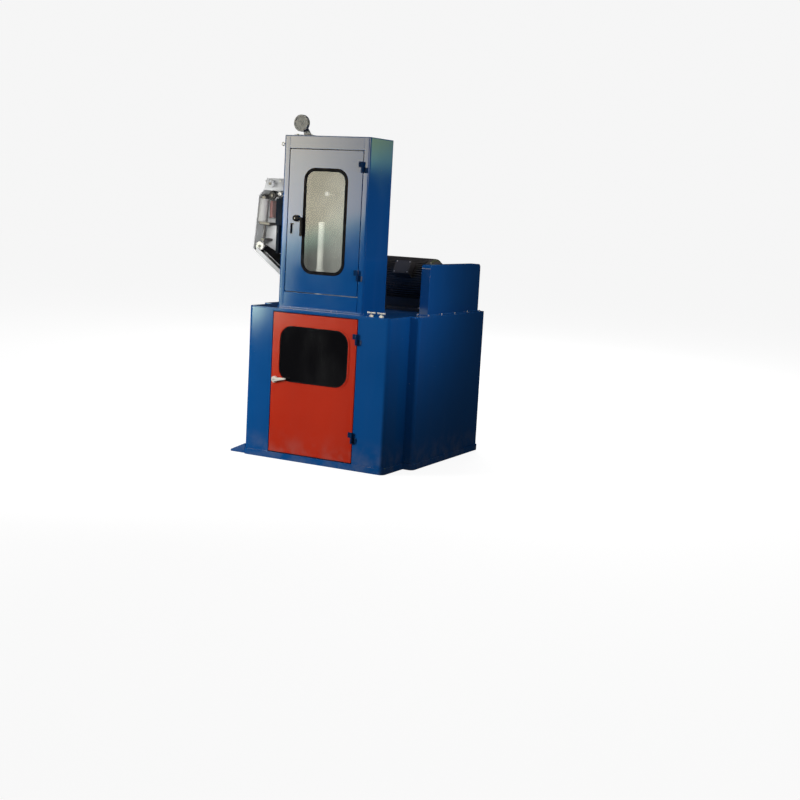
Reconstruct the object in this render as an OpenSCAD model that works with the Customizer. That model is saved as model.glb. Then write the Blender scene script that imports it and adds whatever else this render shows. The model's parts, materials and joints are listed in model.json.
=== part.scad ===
// Wire drawing machine with an annealing tower on its deck.
// Machine axes: X runs to the right from the front section's left side, Y runs back
// from the front face, Z runs up from the floor. Every module is drawn in these axes,
// and place() then moves the origin to the middle of the machine's outline.

/* [Base cabinet] */
// Width of the front section
base_w = 976; // [800:4:1200]
// Height of the deck above the floor
base_h = 920; // [850:10:1000]
// Depth of the front section, back to the step
front_d = 255; // [230:5:300]
// Depth of the whole base
base_d = 1190; // [1100:10:1400]
// How far the rear section stands out beyond the front section on each side
rear_step = 65; // [40:5:100]
// Outer radius of the front section's bent corners
front_r = 25; // [20:1:50]
// Outer radius of the rear section's bent corners
rear_r = 20; // [16:1:38]
// Sheet thickness of the base walls
wall_t = 4; // [3:0.5:6]
// Thickness of the deck plate
deck_t = 6; // [5:1:10]
// Height of the plinth frame
plinth_h = 38; // [30:1:39]
// Width of the plinth frame's bars
plinth_bar = 70; // [50:5:100]
// How far the plinth stands out in front of the walls
plinth_lip = 7; // [4:1:12]

/* [Anchor feet] */
// How far the anchor feet reach out on the left
foot_reach = 108; // [106:1:140]
// Length of an anchor foot along the side
foot_len = 110; // [90:5:130]
// Thickness of an anchor foot's plate
foot_t = 12; // [8:1:16]
// Radius of the anchor bolt holes
anchor_r = 9; // [7:0.5:12]

/* [Lower door] */
// Left edge of the lower door
ldoor_x = 180; // [160:1:200]
// Width of the lower door
ldoor_w = 581; // [520:1:600]
// Bottom edge of the lower door
ldoor_z = 44; // [42:1:60]
// Top edge of the lower door, below the deck's upper face
ldoor_top = 25; // [20:1:60]
// Left edge of the lower window, from the door's left edge
lwin_x = 52; // [50:1:60]
// Right edge of the lower window, from the door's right edge
lwin_right = 53; // [45:1:60]
// Top of the lower window, from the door's top edge
lwin_top = 75; // [60:1:100]
// Height of the lower window
lwin_h = 340; // [300:1:350]
// Corner radius of the lower window
lwin_r = 84; // [60:1:100]

/* [Tower] */
// Left side of the tower
tower_x = 149; // [140:1:160]
// Width of the tower
tower_w = 592; // [580:1:610]
// Front face of the tower, behind the front of the base
tower_y = 88; // [80:1:100]
// Depth of the tower
tower_d = 285; // [270:1:300]
// Height of the tower above the deck
tower_h = 1030; // [1010:1:1060]
// Outer radius of the tower's bent corners
tower_r = 12; // [10:1:16]
// Sheet thickness of the tower
tower_t = 4; // [3:0.5:5]
// Gap between the tower wall and the liner's sides
liner_gap = 20; // [10:1:40]

/* [Upper door] */
// Left edge of the upper door, from the tower's left side
udoor_left = 46; // [40:1:50]
// Right edge of the upper door, from the tower's right side
udoor_right = 45; // [42:1:60]
// Bottom edge of the upper door, above the deck
udoor_z = 101; // [90:1:110]
// Top edge of the upper door, below the tower's roof
udoor_top = 82; // [60:1:100]
// Left edge of the window opening, from the door's left edge
uwin_x = 114; // [105:1:120]
// Right edge of the window opening, from the door's right edge
uwin_right = 104; // [95:1:115]
// Bottom of the window opening, from the door's bottom edge
uwin_z = 121; // [110:1:130]
// Top of the window opening, from the door's top edge
uwin_top = 116; // [100:1:130]
// Corner radius of the window opening
uwin_r = 65; // [50:1:75]
// How far the gasket covers the door round the window opening
gasket_lap = 10; // [6:1:14]

/* [Doors in general] */
// Gap between a door and its frame
door_gap = 5; // [5:0.5:6]
// Sheet thickness of the doors
door_t = 3; // [2:0.5:4]
// Depth of the doors, from the face to the back of the folded edges
door_d = 22; // [18:1:30]
// Width of the raised rim round the lower window
rim_w = 9; // [6:1:14]
// Bottom edge of the lower door to the middle of its low hinge
lhinge_low = 151; // [120:1:200]
// Top edge of the lower door to the middle of its high hinge
lhinge_top = 117; // [100:1:200]
// Bottom edge of the upper door to the middle of its low hinge
uhinge_low = 124; // [100:1:200]
// Top edge of the upper door to the middle of its high hinge
uhinge_top = 93; // [80:1:200]
// Radius of the hinge barrels
barrel_r = 8; // [7:0.5:10]
// Radius of the hinge pins
pin_r = 4; // [3:0.5:5]
// Length of one hinge barrel
barrel_l = 32; // [24:1:40]
// Radial running clearance of pins and axles
run_gap = 0.05; // [0.02:0.01:0.1]
// End gap between a turning piece and its seat
end_gap = 0.3; // [0.2:0.05:0.5]

/* [Handles] */
// Centre of the lower handle, from the lower door's left edge
lhandle_x = 28; // [26:1:32]
// Height of the lower handle above the lower edge of the window
lhandle_up = 7; // [-30:1:20]
// Length of the lower handle's lever
lhandle_l = 88; // [70:1:100]
// Rise of the lower lever above level, in degrees
lhandle_rise = 8; // [0:1:15]
// Centre of the upper handle, from the upper door's left edge
uhandle_x = 62; // [50:1:70]
// Height of the upper handle above the deck
uhandle_z = 540; // [500:1:580]
// Side reach of the upper handle's arm
uhandle_arm = 44; // [36:1:50]
// Length of the upper handle's grip
uhandle_grip = 98; // [80:1:120]
// Radius of the handle bosses
boss_r = 20; // [16:1:22]
// Height of the handle bosses
boss_h = 14; // [10:1:18]
// Radius of the handle spindles
spindle_r = 6; // [5:0.5:8]

/* [Top pulley] */
// Radius of the top pulley
top_pulley_r = 50; // [40:1:60]
// Thickness of the top pulley
top_pulley_t = 22; // [16:1:28]
// Place of the top pulley along X
top_pulley_x = 227; // [210:1:250]
// Place of the top pulley's middle behind the tower's front face
top_pulley_back = 62; // [50:1:80]
// Height of the top pulley's axle above the tower's roof
top_pulley_rise = 75; // [66:1:90]

/* [Exit tray] */
// Front edge of the exit tray, behind the tower's front face
tray_back = 22; // [15:1:40]
// Depth of the exit tray
tray_d = 90; // [80:1:120]
// Sheet thickness of the exit tray
tray_t = 3; // [2:0.5:4]
// Top of the exit tray above the deck
tray_top_z = 771; // [760:1:790]
// Reach of the tray's top beyond the tower's left side
tray_top_reach = 130; // [125:1:140]
// Reach of the tray's shoulder, where its outer side starts to slope
tray_shoulder_reach = 184; // [176:1:190]
// Reach of the tray's lower outer corner
tray_low_reach = 212; // [205:1:225]
// Lower outer corner of the tray above the deck
tray_low_z = 342; // [330:1:350]
// Lowest point of the tray above the deck, at the tower
tray_foot_z = 185; // [170:1:190]
// Radius of the white guide roller
roller_r = 27; // [20:1:28]
// Length of the white guide roller
roller_l = 140; // [110:1:150]
// Lean of the guide roller, in degrees
roller_lean = 5; // [0:1:8]
// Radius of the exit pulley
exit_pulley_r = 28; // [24:1:31]
// Radius of the black guide wheel
guide_wheel_r = 24; // [18:1:26]
// Radius of the small corner roller
corner_roller_r = 22; // [16:1:24]

/* [Motor and belt guard] */
// Radius of the motor's frame
motor_r = 150; // [120:1:160]
// Length of the motor with its fan cowl
motor_l = 515; // [460:5:560]
// Height of the motor's shaft above the deck
motor_shaft_h = 180; // [170:1:200]
// Place of the motor's shaft behind the front of the base
motor_y = 800; // [760:5:860]
// Width of the belt guard
guard_w = 60; // [50:1:100]
// Length of the belt guard, front to back
guard_l = 730; // [650:5:760]
// Height of the belt guard above the deck
guard_h = 305; // [280:1:330]
// Gap from the belt guard to the deck's right edge
guard_inset = 40; // [20:1:60]
// Gap from the belt guard to the deck's back edge
guard_back_inset = 25; // [10:1:60]
// Corner radius of the belt guard
guard_r = 26; // [10:1:40]

/* [Deck valves] */
// Place of the outer valve from the right side of the front section
valve_x = 80; // [50:1:90]
// Distance between the two valves
valve_pitch = 67; // [65:1:90]
// Place of the valves behind the front of the base
valve_y = 40; // [36:1:60]
// Height of a valve with its wing
valve_h = 28; // [24:1:55]

/* [Hidden] */
$fn = 48;

// Colours, as the machine is painted
blue = [0.02, 0.22, 0.42];
red = [0.69, 0.19, 0.12];
cream = [0.88, 0.84, 0.78];
black = [0.09, 0.09, 0.10];
steel = [0.70, 0.71, 0.72];
grey = [0.45, 0.46, 0.47];

// How far a cutting shape runs past the face that it cuts
cut = 1;

// Heights that several pieces share
wall_z0 = plinth_h;
deck_z0 = base_h - deck_t;
tower_z1 = base_h + tower_h;
tower_x1 = tower_x + tower_w;
rear_x0 = -rear_step;
rear_x1 = base_w + rear_step;

// Sizes of the doors and their windows, left over from the edges given above
ldoor_h = base_h - ldoor_z - ldoor_top;
lwin_w = ldoor_w - lwin_x - lwin_right;
lwin_z = ldoor_h - lwin_top - lwin_h;
udoor_x = tower_x + udoor_left;
udoor_w = tower_w - udoor_left - udoor_right;
udoor_h = tower_h - udoor_z - udoor_top;
uwin_w = udoor_w - uwin_x - uwin_right;
uwin_h = udoor_h - uwin_z - uwin_top;

// Handle lever sizes
lever_t = 9;
lever_front = boss_h + end_gap + lever_t;
spindle_end = 1;

// Middle of the machine's outline, which the origin stands under
outline_x0 = -max(foot_reach, tray_low_reach - tower_x);
outline_x1 = rear_x1 + plinth_lip;
outline_y0 = -lever_front;
outline_y1 = base_d + plinth_lip;
origin_x = (outline_x0 + outline_x1) / 2;
origin_y = (outline_y0 + outline_y1) / 2;

module place() {
    translate([-origin_x, -origin_y, 0]) children();
}

// Flat outline with four round corners, its low corner at the origin
module round_rect(w, h, r) {
    translate([r, 0]) square([w - 2 * r, h]);
    translate([0, r]) square([w, h - 2 * r]);
    for (x = [r, w - r], y = [r, h - r]) translate([x, y]) circle(r = r);
}

// Extrudes an XZ outline back along Y from y0
module along_y(y0, depth) {
    translate([0, y0 + depth, 0]) rotate([90, 0, 0]) linear_extrude(height = depth) children();
}

// Extrudes a YZ outline along X from x0
module along_x(x0, width) {
    translate([x0, 0, 0]) rotate([90, 0, 90]) linear_extrude(height = width) children();
}

// Outlines of the base's two sections seen from above, moved in by s. The front
// section's outline runs on into the rear section.
module front_outline(s) {
    translate([s, s]) round_rect(base_w - 2 * s, front_d + 2 * front_r, max(front_r - s, 1));
}

module rear_outline(s) {
    translate([rear_x0 + s, front_d + s])
        round_rect(rear_x1 - rear_x0 - 2 * s, base_d - front_d - 2 * s, max(rear_r - s, 1));
}

module base_outline(s) {
    front_outline(s);
    rear_outline(s);
}

// Outline of the tower seen from above, moved in by s
module tower_outline(s) {
    translate([tower_x + s, tower_y + s])
        round_rect(tower_w - 2 * s, tower_d - 2 * s, max(tower_r - s, 1));
}

module front_wall() {
    translate([0, 0, wall_z0]) linear_extrude(height = deck_z0 - wall_z0) difference() {
        front_outline(0);
        front_outline(wall_t);
    }
}

module rear_wall() {
    translate([0, 0, wall_z0]) linear_extrude(height = deck_z0 - wall_z0) difference() {
        rear_outline(0);
        rear_outline(wall_t);
    }
}

module tower_wall() {
    translate([0, 0, base_h]) linear_extrude(height = tower_h - tower_t) difference() {
        tower_outline(0);
        tower_outline(tower_t);
    }
}

// Block used to pick one stretch of a wall
module pick(x0, x1, y0, y1) {
    translate([x0, y0, 0]) cube([x1 - x0, y1 - y0, tower_z1]);
}

// Base cabinet
ldoor_open_x0 = ldoor_x - door_gap;
ldoor_open_x1 = ldoor_x + ldoor_w + door_gap;
ldoor_open_z1 = ldoor_z + ldoor_h + door_gap;
far = rear_step + base_w + base_d;

module plinth() {
    place() color(blue) linear_extrude(height = plinth_h) difference() {
        base_outline(-plinth_lip);
        base_outline(plinth_bar);
    }
}

foot_front_y = 12;
foot_rear_y = base_d - rear_r - foot_len;
gusset_t = 10;
gusset_h = 60;
anchor_edge = 18;

module foot(y0, x_wall) {
    difference() {
        translate([-foot_reach, y0, 0]) cube([foot_reach + x_wall - plinth_lip, foot_len, foot_t]);
        translate([anchor_edge - foot_reach, y0 + foot_len / 2, -cut])
            cylinder(r = anchor_r, h = foot_t + 2 * cut);
    }
    along_y(y0, gusset_t) polygon([
        [-foot_reach, 0], [x_wall - plinth_lip, 0],
        [x_wall - plinth_lip, plinth_h], [x_wall, plinth_h],
        [x_wall, gusset_h], [x_wall - plinth_lip, gusset_h], [-foot_reach, foot_t]
    ]);
}

module anchor_feet() {
    place() color(blue) {
        foot(foot_front_y, 0);
        foot(foot_rear_y, rear_x0);
    }
}

module floor_plate() {
    place() color(blue) translate([0, 0, plinth_h - deck_t])
        linear_extrude(height = deck_t) base_outline(plinth_bar);
}

module front_left_wall() {
    place() color(blue) intersection() {
        front_wall();
        pick(-far, ldoor_open_x0, -far, front_d);
    }
}

module front_right_wall() {
    place() color(blue) intersection() {
        front_wall();
        pick(ldoor_open_x1, far, -far, front_d);
    }
}

module rear_left_wall() {
    place() color(blue) intersection() {
        rear_wall();
        pick(-far, wall_t, 0, base_d - rear_r);
    }
}

module rear_right_wall() {
    place() color(blue) intersection() {
        rear_wall();
        pick(base_w - wall_t, far, 0, base_d - rear_r);
    }
}

module back_wall() {
    place() color(blue) intersection() {
        rear_wall();
        pick(-far, far, base_d - rear_r, far);
    }
}

module front_top_rail() {
    place() color(blue) translate([ldoor_open_x0, 0, ldoor_open_z1])
        cube([ldoor_open_x1 - ldoor_open_x0, wall_t, deck_z0 - ldoor_open_z1]);
}

module deck_plate() {
    place() color(blue) translate([0, 0, deck_z0]) linear_extrude(height = deck_t) base_outline(0);
}

// Drawing chamber behind the lower door
chamber_y1 = front_d;
cone_x0 = 286;
cone_z0 = 330;
cone_pitch_x = 370;
cone_pitch_z = 330;
cone_r = 112;
cone_drop = 14;
cone_step_l = 26;
cone_hub_l = 36;
cone_hub_r = 30;
die_bar_h = 46;
die_bar_d = 40;

module chamber_back() {
    place() color(grey) translate([wall_t, chamber_y1 - wall_t, plinth_h])
        cube([base_w - 2 * wall_t, wall_t, deck_z0 - plinth_h]);
}

// A cone with four steps, the widest one next to its hub
module drawing_cone() {
    rotate([90, 0, 0]) {
        cylinder(r = cone_hub_r, h = cone_hub_l + cone_step_l);
        translate([0, 0, cone_hub_l]) for (i = [0 : 3])
            cylinder(r = cone_r - i * cone_drop, h = (i + 1) * cone_step_l);
    }
}

module drawing_cones() {
    place() color(steel) for (i = [0, 1], j = [0, 1])
        translate([cone_x0 + i * cone_pitch_x, chamber_y1 - wall_t, cone_z0 + j * cone_pitch_z])
            drawing_cone();
}

module die_bar() {
    die_bar_z = cone_z0 + (cone_pitch_z - die_bar_h) / 2;
    place() color(grey) translate([wall_t, chamber_y1 - wall_t - die_bar_d, die_bar_z])
        cube([base_w - 2 * wall_t, die_bar_d, die_bar_h]);
}

// Tower
udoor_z0 = base_h + udoor_z;
udoor_z1 = udoor_z0 + udoor_h;
udoor_open_x0 = udoor_x - door_gap;
udoor_open_x1 = udoor_x + udoor_w + door_gap;
tower_y1 = tower_y + tower_d;

module tower_left_wall() {
    place() color(blue) intersection() {
        tower_wall();
        pick(-far, udoor_open_x0, -far, tower_y1 - tower_r);
    }
}

module tower_right_wall() {
    place() color(blue) intersection() {
        tower_wall();
        pick(udoor_open_x1, far, -far, tower_y1 - tower_r);
    }
}

module tower_back_wall() {
    place() color(blue) intersection() {
        tower_wall();
        pick(-far, far, tower_y1 - tower_r, far);
    }
}

module tower_roof() {
    place() color(blue) translate([0, 0, tower_z1 - tower_t])
        linear_extrude(height = tower_t) tower_outline(0);
}

module tower_head_rail() {
    place() color(blue) translate([udoor_open_x0, tower_y, udoor_z1 + door_gap])
        cube([udoor_open_x1 - udoor_open_x0, tower_t, tower_z1 - tower_t - udoor_z1 - door_gap]);
}

sill_proud = 3;

module tower_sill_panel() {
    place() color(blue) translate([udoor_open_x0, tower_y - sill_proud, base_h])
        cube([udoor_open_x1 - udoor_open_x0, tower_t + sill_proud, udoor_z - door_gap]);
}

strip_w = 7;
strip_h = 6;

module tower_foot_strip() {
    place() color(blue) translate([0, 0, base_h]) linear_extrude(height = strip_h) difference() {
        tower_outline(-strip_w);
        tower_outline(-sill_proud);
    }
}

liner_t = 3;
liner_y1 = tower_y1 - tower_t;
liner_x0 = tower_x + tower_t + liner_gap;
liner_x1 = tower_x1 - tower_t - liner_gap;
liner_z1 = tower_z1 - tower_t;
liner_d = tower_d - tower_t - door_d - liner_gap;

module tower_liner() {
    place() color(cream) translate([0, 0, base_h]) linear_extrude(height = liner_z1 - base_h) difference() {
        translate([liner_x0, liner_y1 - liner_d]) square([liner_x1 - liner_x0, liner_d]);
        translate([liner_x0 + liner_t, liner_y1 - liner_d - liner_t])
            square([liner_x1 - liner_x0 - 2 * liner_t, liner_d]);
    }
}

tube_x = 368;
tube_back = 112;
tube_r = 20;
tube_top = 525;
tube_foot_r = 25;
tube_foot_h = 240;
guide_x = 380;
guide_z = 695;
guide_r = 14;
guide_t = 20;
guide_rod_r = 6;
guide_rod_l = 150;

module steam_tube() {
    place() color(cream) translate([tube_x, tower_y + tube_back, base_h]) {
        cylinder(r = tube_foot_r, h = tube_foot_h);
        cylinder(r = tube_r, h = tube_top);
    }
}

module ceramic_guide() {
    place() color(cream) translate([guide_x, liner_y1 - liner_t, base_h + guide_z]) rotate([90, 0, 0]) {
        cylinder(r = guide_rod_r, h = guide_rod_l);
        translate([0, 0, guide_rod_l - guide_t - guide_rod_r / 2]) cylinder(r = guide_r, h = guide_t);
    }
}

// Hinges. The frame's barrel carries the pin and the door's barrel turns on it.
hinge_off = barrel_r + 1;
leaf_w = 30;
leaf_t = 3;
lhinge_x = ldoor_x + ldoor_w + door_gap / 2;
uhinge_x = udoor_x + udoor_w + door_gap / 2;
lhinge_zs = [ldoor_z + lhinge_low, ldoor_z + ldoor_h - lhinge_top];
uhinge_zs = [udoor_z0 + uhinge_low, udoor_z1 - uhinge_top];

module hinge_fixed(x, y, z) {
    translate([x, y, z]) {
        translate([0, -hinge_off, -barrel_l]) cylinder(r = barrel_r, h = barrel_l);
        translate([0, -hinge_off, -barrel_l]) cylinder(r = pin_r, h = 2 * barrel_l + end_gap);
        translate([0, -leaf_t, -barrel_l]) cube([leaf_w, leaf_t, barrel_l]);
    }
}

module hinge_moving(x, y, z) {
    translate([x, y, z + end_gap]) difference() {
        union() {
            translate([0, -hinge_off, 0]) cylinder(r = barrel_r, h = barrel_l);
            translate([-leaf_w, -leaf_t, 0]) cube([leaf_w, leaf_t, barrel_l]);
        }
        translate([0, -hinge_off, -cut]) cylinder(r = pin_r + run_gap, h = barrel_l + 2 * cut);
    }
}

module hinge_pins() {
    place() color(steel) {
        for (z = lhinge_zs) hinge_fixed(lhinge_x, 0, z);
        for (z = uhinge_zs) hinge_fixed(uhinge_x, tower_y, z);
    }
}

module lower_knuckles() {
    place() color(red) for (z = lhinge_zs) hinge_moving(lhinge_x, 0, z);
}

module upper_knuckles() {
    place() color(blue) for (z = uhinge_zs) hinge_moving(uhinge_x, tower_y, z);
}

// A door is a face sheet with its four edges folded back
door_r = 5;

module door_leaf(x, y, z, w, h) {
    translate([x, 0, z]) {
        difference() {
            along_y(y, door_d) round_rect(w, h, door_r);
            translate([door_t, y + door_t, door_t]) cube([w - 2 * door_t, door_d, h - 2 * door_t]);
        }
    }
}

// Lower door
lwin_x0 = ldoor_x + lwin_x;
lwin_z0 = ldoor_z + lwin_z;
rim_h = 3;
glass_t = 4;
glass_lap = 14;

module lower_door_panel() {
    place() color(red) difference() {
        union() {
            door_leaf(ldoor_x, 0, ldoor_z, ldoor_w, ldoor_h);
            translate([lwin_x0 - rim_w, 0, lwin_z0 - rim_w])
                along_y(-rim_h, rim_h + door_t)
                    round_rect(lwin_w + 2 * rim_w, lwin_h + 2 * rim_w, lwin_r + rim_w);
        }
        translate([lwin_x0, 0, lwin_z0]) along_y(-door_d, 3 * door_d) round_rect(lwin_w, lwin_h, lwin_r);
    }
}

module lower_glass() {
    place() color([0.09, 0.09, 0.11]) translate([lwin_x0 - glass_lap, 0, lwin_z0 - glass_lap])
        along_y(door_t, glass_t)
            round_rect(lwin_w + 2 * glass_lap, lwin_h + 2 * glass_lap, lwin_r + glass_lap);
}

// Handles
lhandle_at = [ldoor_x + lhandle_x, 0, lwin_z0 + lhandle_up];
uhandle_at = [udoor_x + uhandle_x, tower_y, base_h + uhandle_z];
hub_r = 15;
root_w = hub_r - 2;
tip_r = 5;

module boss() {
    rotate([90, 0, 0]) difference() {
        cylinder(r = boss_r, h = boss_h);
        translate([0, 0, -cut]) cylinder(r = spindle_r + run_gap, h = boss_h + 2 * cut);
    }
}

// Lever outline in XZ, drawn from the spindle, with its spindle behind it
module lever(reach) {
    rotate([90, 0, 0]) {
        translate([0, 0, boss_h + end_gap]) linear_extrude(height = lever_t) {
            circle(r = hub_r);
            polygon([[0, -root_w], [reach, -tip_r], [reach, tip_r], [0, root_w]]);
            translate([reach, 0]) circle(r = tip_r);
        }
        translate([0, 0, spindle_end]) cylinder(r = spindle_r, h = boss_h + lever_t - spindle_end);
    }
}

module lower_handle_boss() {
    place() color(cream) translate(lhandle_at) boss();
}

module lower_handle_lever() {
    place() color(cream) translate(lhandle_at) rotate([0, -lhandle_rise, 0]) lever(lhandle_l - tip_r);
}

module upper_handle_boss() {
    place() color(black) translate(uhandle_at) boss();
}

grip_w = 14;

module upper_handle_lever() {
    place() color(black) translate(uhandle_at) rotate([90, 0, 0]) {
        translate([0, 0, boss_h + end_gap]) linear_extrude(height = lever_t) {
            circle(r = hub_r);
            translate([0, -grip_w / 2]) square([uhandle_arm, grip_w]);
            translate([uhandle_arm, 0]) circle(r = grip_w / 2);
            translate([uhandle_arm - grip_w / 2, -uhandle_grip]) square([grip_w, uhandle_grip]);
            translate([uhandle_arm, -uhandle_grip]) circle(r = grip_w / 2);
        }
        translate([0, 0, spindle_end]) cylinder(r = spindle_r, h = boss_h + lever_t - spindle_end);
    }
}

// Upper door
uwin_x0 = udoor_x + uwin_x;
uwin_z0 = udoor_z0 + uwin_z;
lip_t = 4;
seat_w = 5;

module uwin(s, y0, depth) {
    translate([uwin_x0 - s, 0, uwin_z0 - s])
        along_y(tower_y + y0, depth) round_rect(uwin_w + 2 * s, uwin_h + 2 * s, uwin_r + s);
}

module upper_door_panel() {
    place() color(blue) difference() {
        door_leaf(udoor_x, tower_y, udoor_z0, udoor_w, udoor_h);
        uwin(0, -door_d, 3 * door_d);
    }
}

module upper_gasket() {
    place() color(black) difference() {
        union() {
            uwin(gasket_lap, -lip_t, lip_t);
            uwin(0, -lip_t, door_t + 2 * lip_t);
            uwin(gasket_lap, door_t, lip_t);
        }
        uwin(-gasket_lap, -door_d, 3 * door_d);
        uwin(seat_w - gasket_lap, 0, door_t);
    }
}

module upper_glass() {
    place() color([0.75, 0.78, 0.76, 0.5]) uwin(seat_w - gasket_lap, 0, door_t);
}

hook_x = 24;
hook_z = 478;
hook_h = 62;
hook_w = 7;
hook_d = 9;

module latch_hook() {
    place() color(black) translate([udoor_x + hook_x, tower_y - hook_d, base_h + hook_z - hook_h / 2]) {
        cube([hook_w, hook_d, hook_h]);
        translate([0, 0, hook_h - hook_w]) cube([2 * hook_w, hook_d, hook_w]);
    }
}

// A grooved wheel with its axis along Z, its middle at the origin
module grooved_wheel(r, t, bore) {
    groove = t / 3;
    rim = t / 7;
    rotate_extrude() polygon([
        [bore, -t / 2], [r, -t / 2], [r, -t / 2 + rim], [r - groove, 0],
        [r, t / 2 - rim], [r, t / 2], [bore, t / 2]
    ]);
}

// Wheel facing front
module front_wheel(at, r, t, bore) {
    translate(at) rotate([90, 0, 0]) grooved_wheel(r, t, bore);
}

// Pin for a wheel that faces front, from its seat at y_seat to a head in front of the wheel
pin_head_t = 3;
pin_collar = 3;

module wheel_pin(at, t, r, y_seat) {
    front = at[1] - t / 2 - end_gap - pin_head_t;
    translate([at[0], y_seat, at[2]]) rotate([90, 0, 0]) {
        cylinder(r = r, h = y_seat - front);
        cylinder(r = r + pin_collar, h = y_seat - at[1] - t / 2 - end_gap);
    }
    translate([at[0], front + pin_head_t, at[2]]) rotate([90, 0, 0])
        cylinder(r = r + pin_collar, h = pin_head_t);
}

// Top pulley on the tower's roof
top_pin_r = 7;
top_pulley_at = [top_pulley_x, tower_y + top_pulley_back, tower_z1 + top_pulley_rise];
stand_gap = 6;
stand_t = 8;
stand_y = top_pulley_at[1] + top_pulley_t / 2 + stand_gap;
stand_r = 13;
stand_neck = 10;
stand_lean = 10;
stand_root_w = 54;
stand_foot_t = 6;
stand_foot_d = 54;
stand_foot_w = 128;
stand_foot_x = top_pulley_x - 39;

module top_pulley_stand() {
    place() color(steel) {
        translate([stand_foot_x, top_pulley_at[1] - stand_foot_d / 3, tower_z1])
            cube([stand_foot_w, stand_foot_d, stand_foot_t]);
        along_y(stand_y, stand_t) {
            translate([top_pulley_x, top_pulley_at[2]]) circle(r = stand_r);
            polygon([
                [top_pulley_x - stand_neck, top_pulley_at[2] - stand_neck / 2],
                [top_pulley_x + stand_lean, tower_z1],
                [top_pulley_x + stand_lean + stand_root_w, tower_z1],
                [top_pulley_x + stand_neck, top_pulley_at[2] + stand_neck / 2]
            ]);
        }
        wheel_pin(top_pulley_at, top_pulley_t, top_pin_r, stand_y + stand_t);
    }
}

module top_pulley() {
    place() color(steel) front_wheel(top_pulley_at, top_pulley_r, top_pulley_t, top_pin_r + run_gap);
}

eye_y = 42;
eye_drop = 52;
eye_l = 34;
eye_ring_r = 9;
eye_wire_r = 3;
eye_nut_r = 8;
eye_nut_t = 5;

module guide_eye() {
    place() color(steel) translate([tower_x, tower_y + eye_y, tower_z1 - eye_drop]) rotate([0, -90, 0]) {
        cylinder(r = eye_wire_r + 1, h = eye_l - eye_ring_r);
        cylinder(r = eye_nut_r, h = eye_nut_t);
        translate([0, 0, eye_l]) rotate([90, 0, 0]) rotate_extrude()
            translate([eye_ring_r, 0]) circle(r = eye_wire_r);
    }
}

// Exit tray: a shallow pan on the tower's left side, open to the front
tray_y0 = tower_y + tray_back;
tray_y1 = tray_y0 + tray_d;
tray_face = tray_y1 - tray_t;
tray_lip = 5;
tray_shoulder_z = 665;
tray_chamfer_z = 705;
tray_chamfer = 16;
tray_corner = 14;

// Corners of the tray, anticlockwise seen from the front, from the lowest one
tray_points = [
    [tower_x, base_h + tray_foot_z],
    [tower_x, base_h + tray_top_z],
    [tower_x - tray_top_reach, base_h + tray_top_z],
    [tower_x - tray_top_reach - tray_chamfer, base_h + tray_chamfer_z],
    [tower_x - tray_shoulder_reach, base_h + tray_shoulder_z],
    [tower_x - tray_low_reach, base_h + tray_low_z],
    [tower_x - tray_low_reach + tray_corner, base_h + tray_low_z - tray_corner]
];
tray_cover_z = 698;
tray_flange = 26;

function unit(v) = v / norm(v);
function left_of(v) = [-v[1], v[0]];

// Moves the sides of an anticlockwise outline in by s
function inset(points, s) = [
    for (i = [0 : len(points) - 1])
        let (
            n = len(points),
            a = left_of(unit(points[i] - points[(i + n - 1) % n])),
            b = left_of(unit(points[(i + 1) % n] - points[i]))
        )
        points[i] + s * (a + b) / (1 + a * b)
];

// Places in the tray: out from the tower's side, in from the tray's front edge, and up
// from the deck. The corner roller turns in front of the tray.
roller_out = 150;
roller_in = 5;
roller_up = 577;
exit_pulley_out = 173;
exit_pulley_in = 17;
exit_pulley_up = 357;
guide_wheel_out = 95;
guide_wheel_in = 18;
guide_wheel_up = 668;
corner_roller_out = 90;
corner_roller_in = -15;
corner_roller_up = 737;
roller_at = [tower_x - roller_out, tray_y0 + roller_in, base_h + roller_up];
exit_pulley_at = [tower_x - exit_pulley_out, tray_y0 + exit_pulley_in, base_h + exit_pulley_up];
guide_wheel_at = [tower_x - guide_wheel_out, tray_y0 + guide_wheel_in, base_h + guide_wheel_up];
corner_roller_at = [tower_x - corner_roller_out, tray_y0 + corner_roller_in, base_h + corner_roller_up];
tray_pin_r = 5;
exit_pulley_t = 14;
guide_wheel_t = 16;
corner_roller_t = 18;

// Wide flange along the tray's sloping foot
module tray_foot_flange() {
    outer = tray_points[len(tray_points) - 1];
    inner = tray_points[0];
    rise = tray_flange * left_of(unit(inner - outer));
    intersection() {
        polygon(tray_points);
        polygon([outer, inner, inner + rise, outer + rise]);
    }
}

// Cover plate over the tray's top
module tray_cover() {
    intersection() {
        polygon(tray_points);
        translate([tower_x - tray_low_reach, base_h + tray_cover_z]) square([tray_low_reach, tray_top_z]);
    }
}

module exit_tray() {
    place() color(blue) {
        along_y(tray_face, tray_t) polygon(tray_points);
        along_y(tray_y0, tray_d) difference() {
            polygon(tray_points);
            polygon(inset(tray_points, tray_t));
        }
        along_y(tray_y0, tray_t) union() {
            difference() {
                polygon(tray_points);
                polygon(inset(tray_points, tray_lip));
            }
            tray_foot_flange();
            tray_cover();
        }
        wheel_pin(exit_pulley_at, exit_pulley_t, tray_pin_r, tray_y1);
        wheel_pin(guide_wheel_at, guide_wheel_t, tray_pin_r, tray_y1);
        wheel_pin(corner_roller_at, corner_roller_t, tray_pin_r, tray_y1);
    }
}

rod_r = 6;
rod_low = 190;
rod_end = 6;
low_rod_shift = 25;
arm_t = 14;
arm_w = 24;
low_arm_w = 74;

// Draws in the roller's own leaning frame, its axis along Z
module at_roller() {
    translate(roller_at) rotate([0, roller_lean, 0]) children();
}

module roller_arm(z0, x0, w) {
    translate([x0, -arm_w / 2, z0]) cube([w, tray_face - roller_at[1] + arm_w / 2, arm_t]);
}

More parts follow.
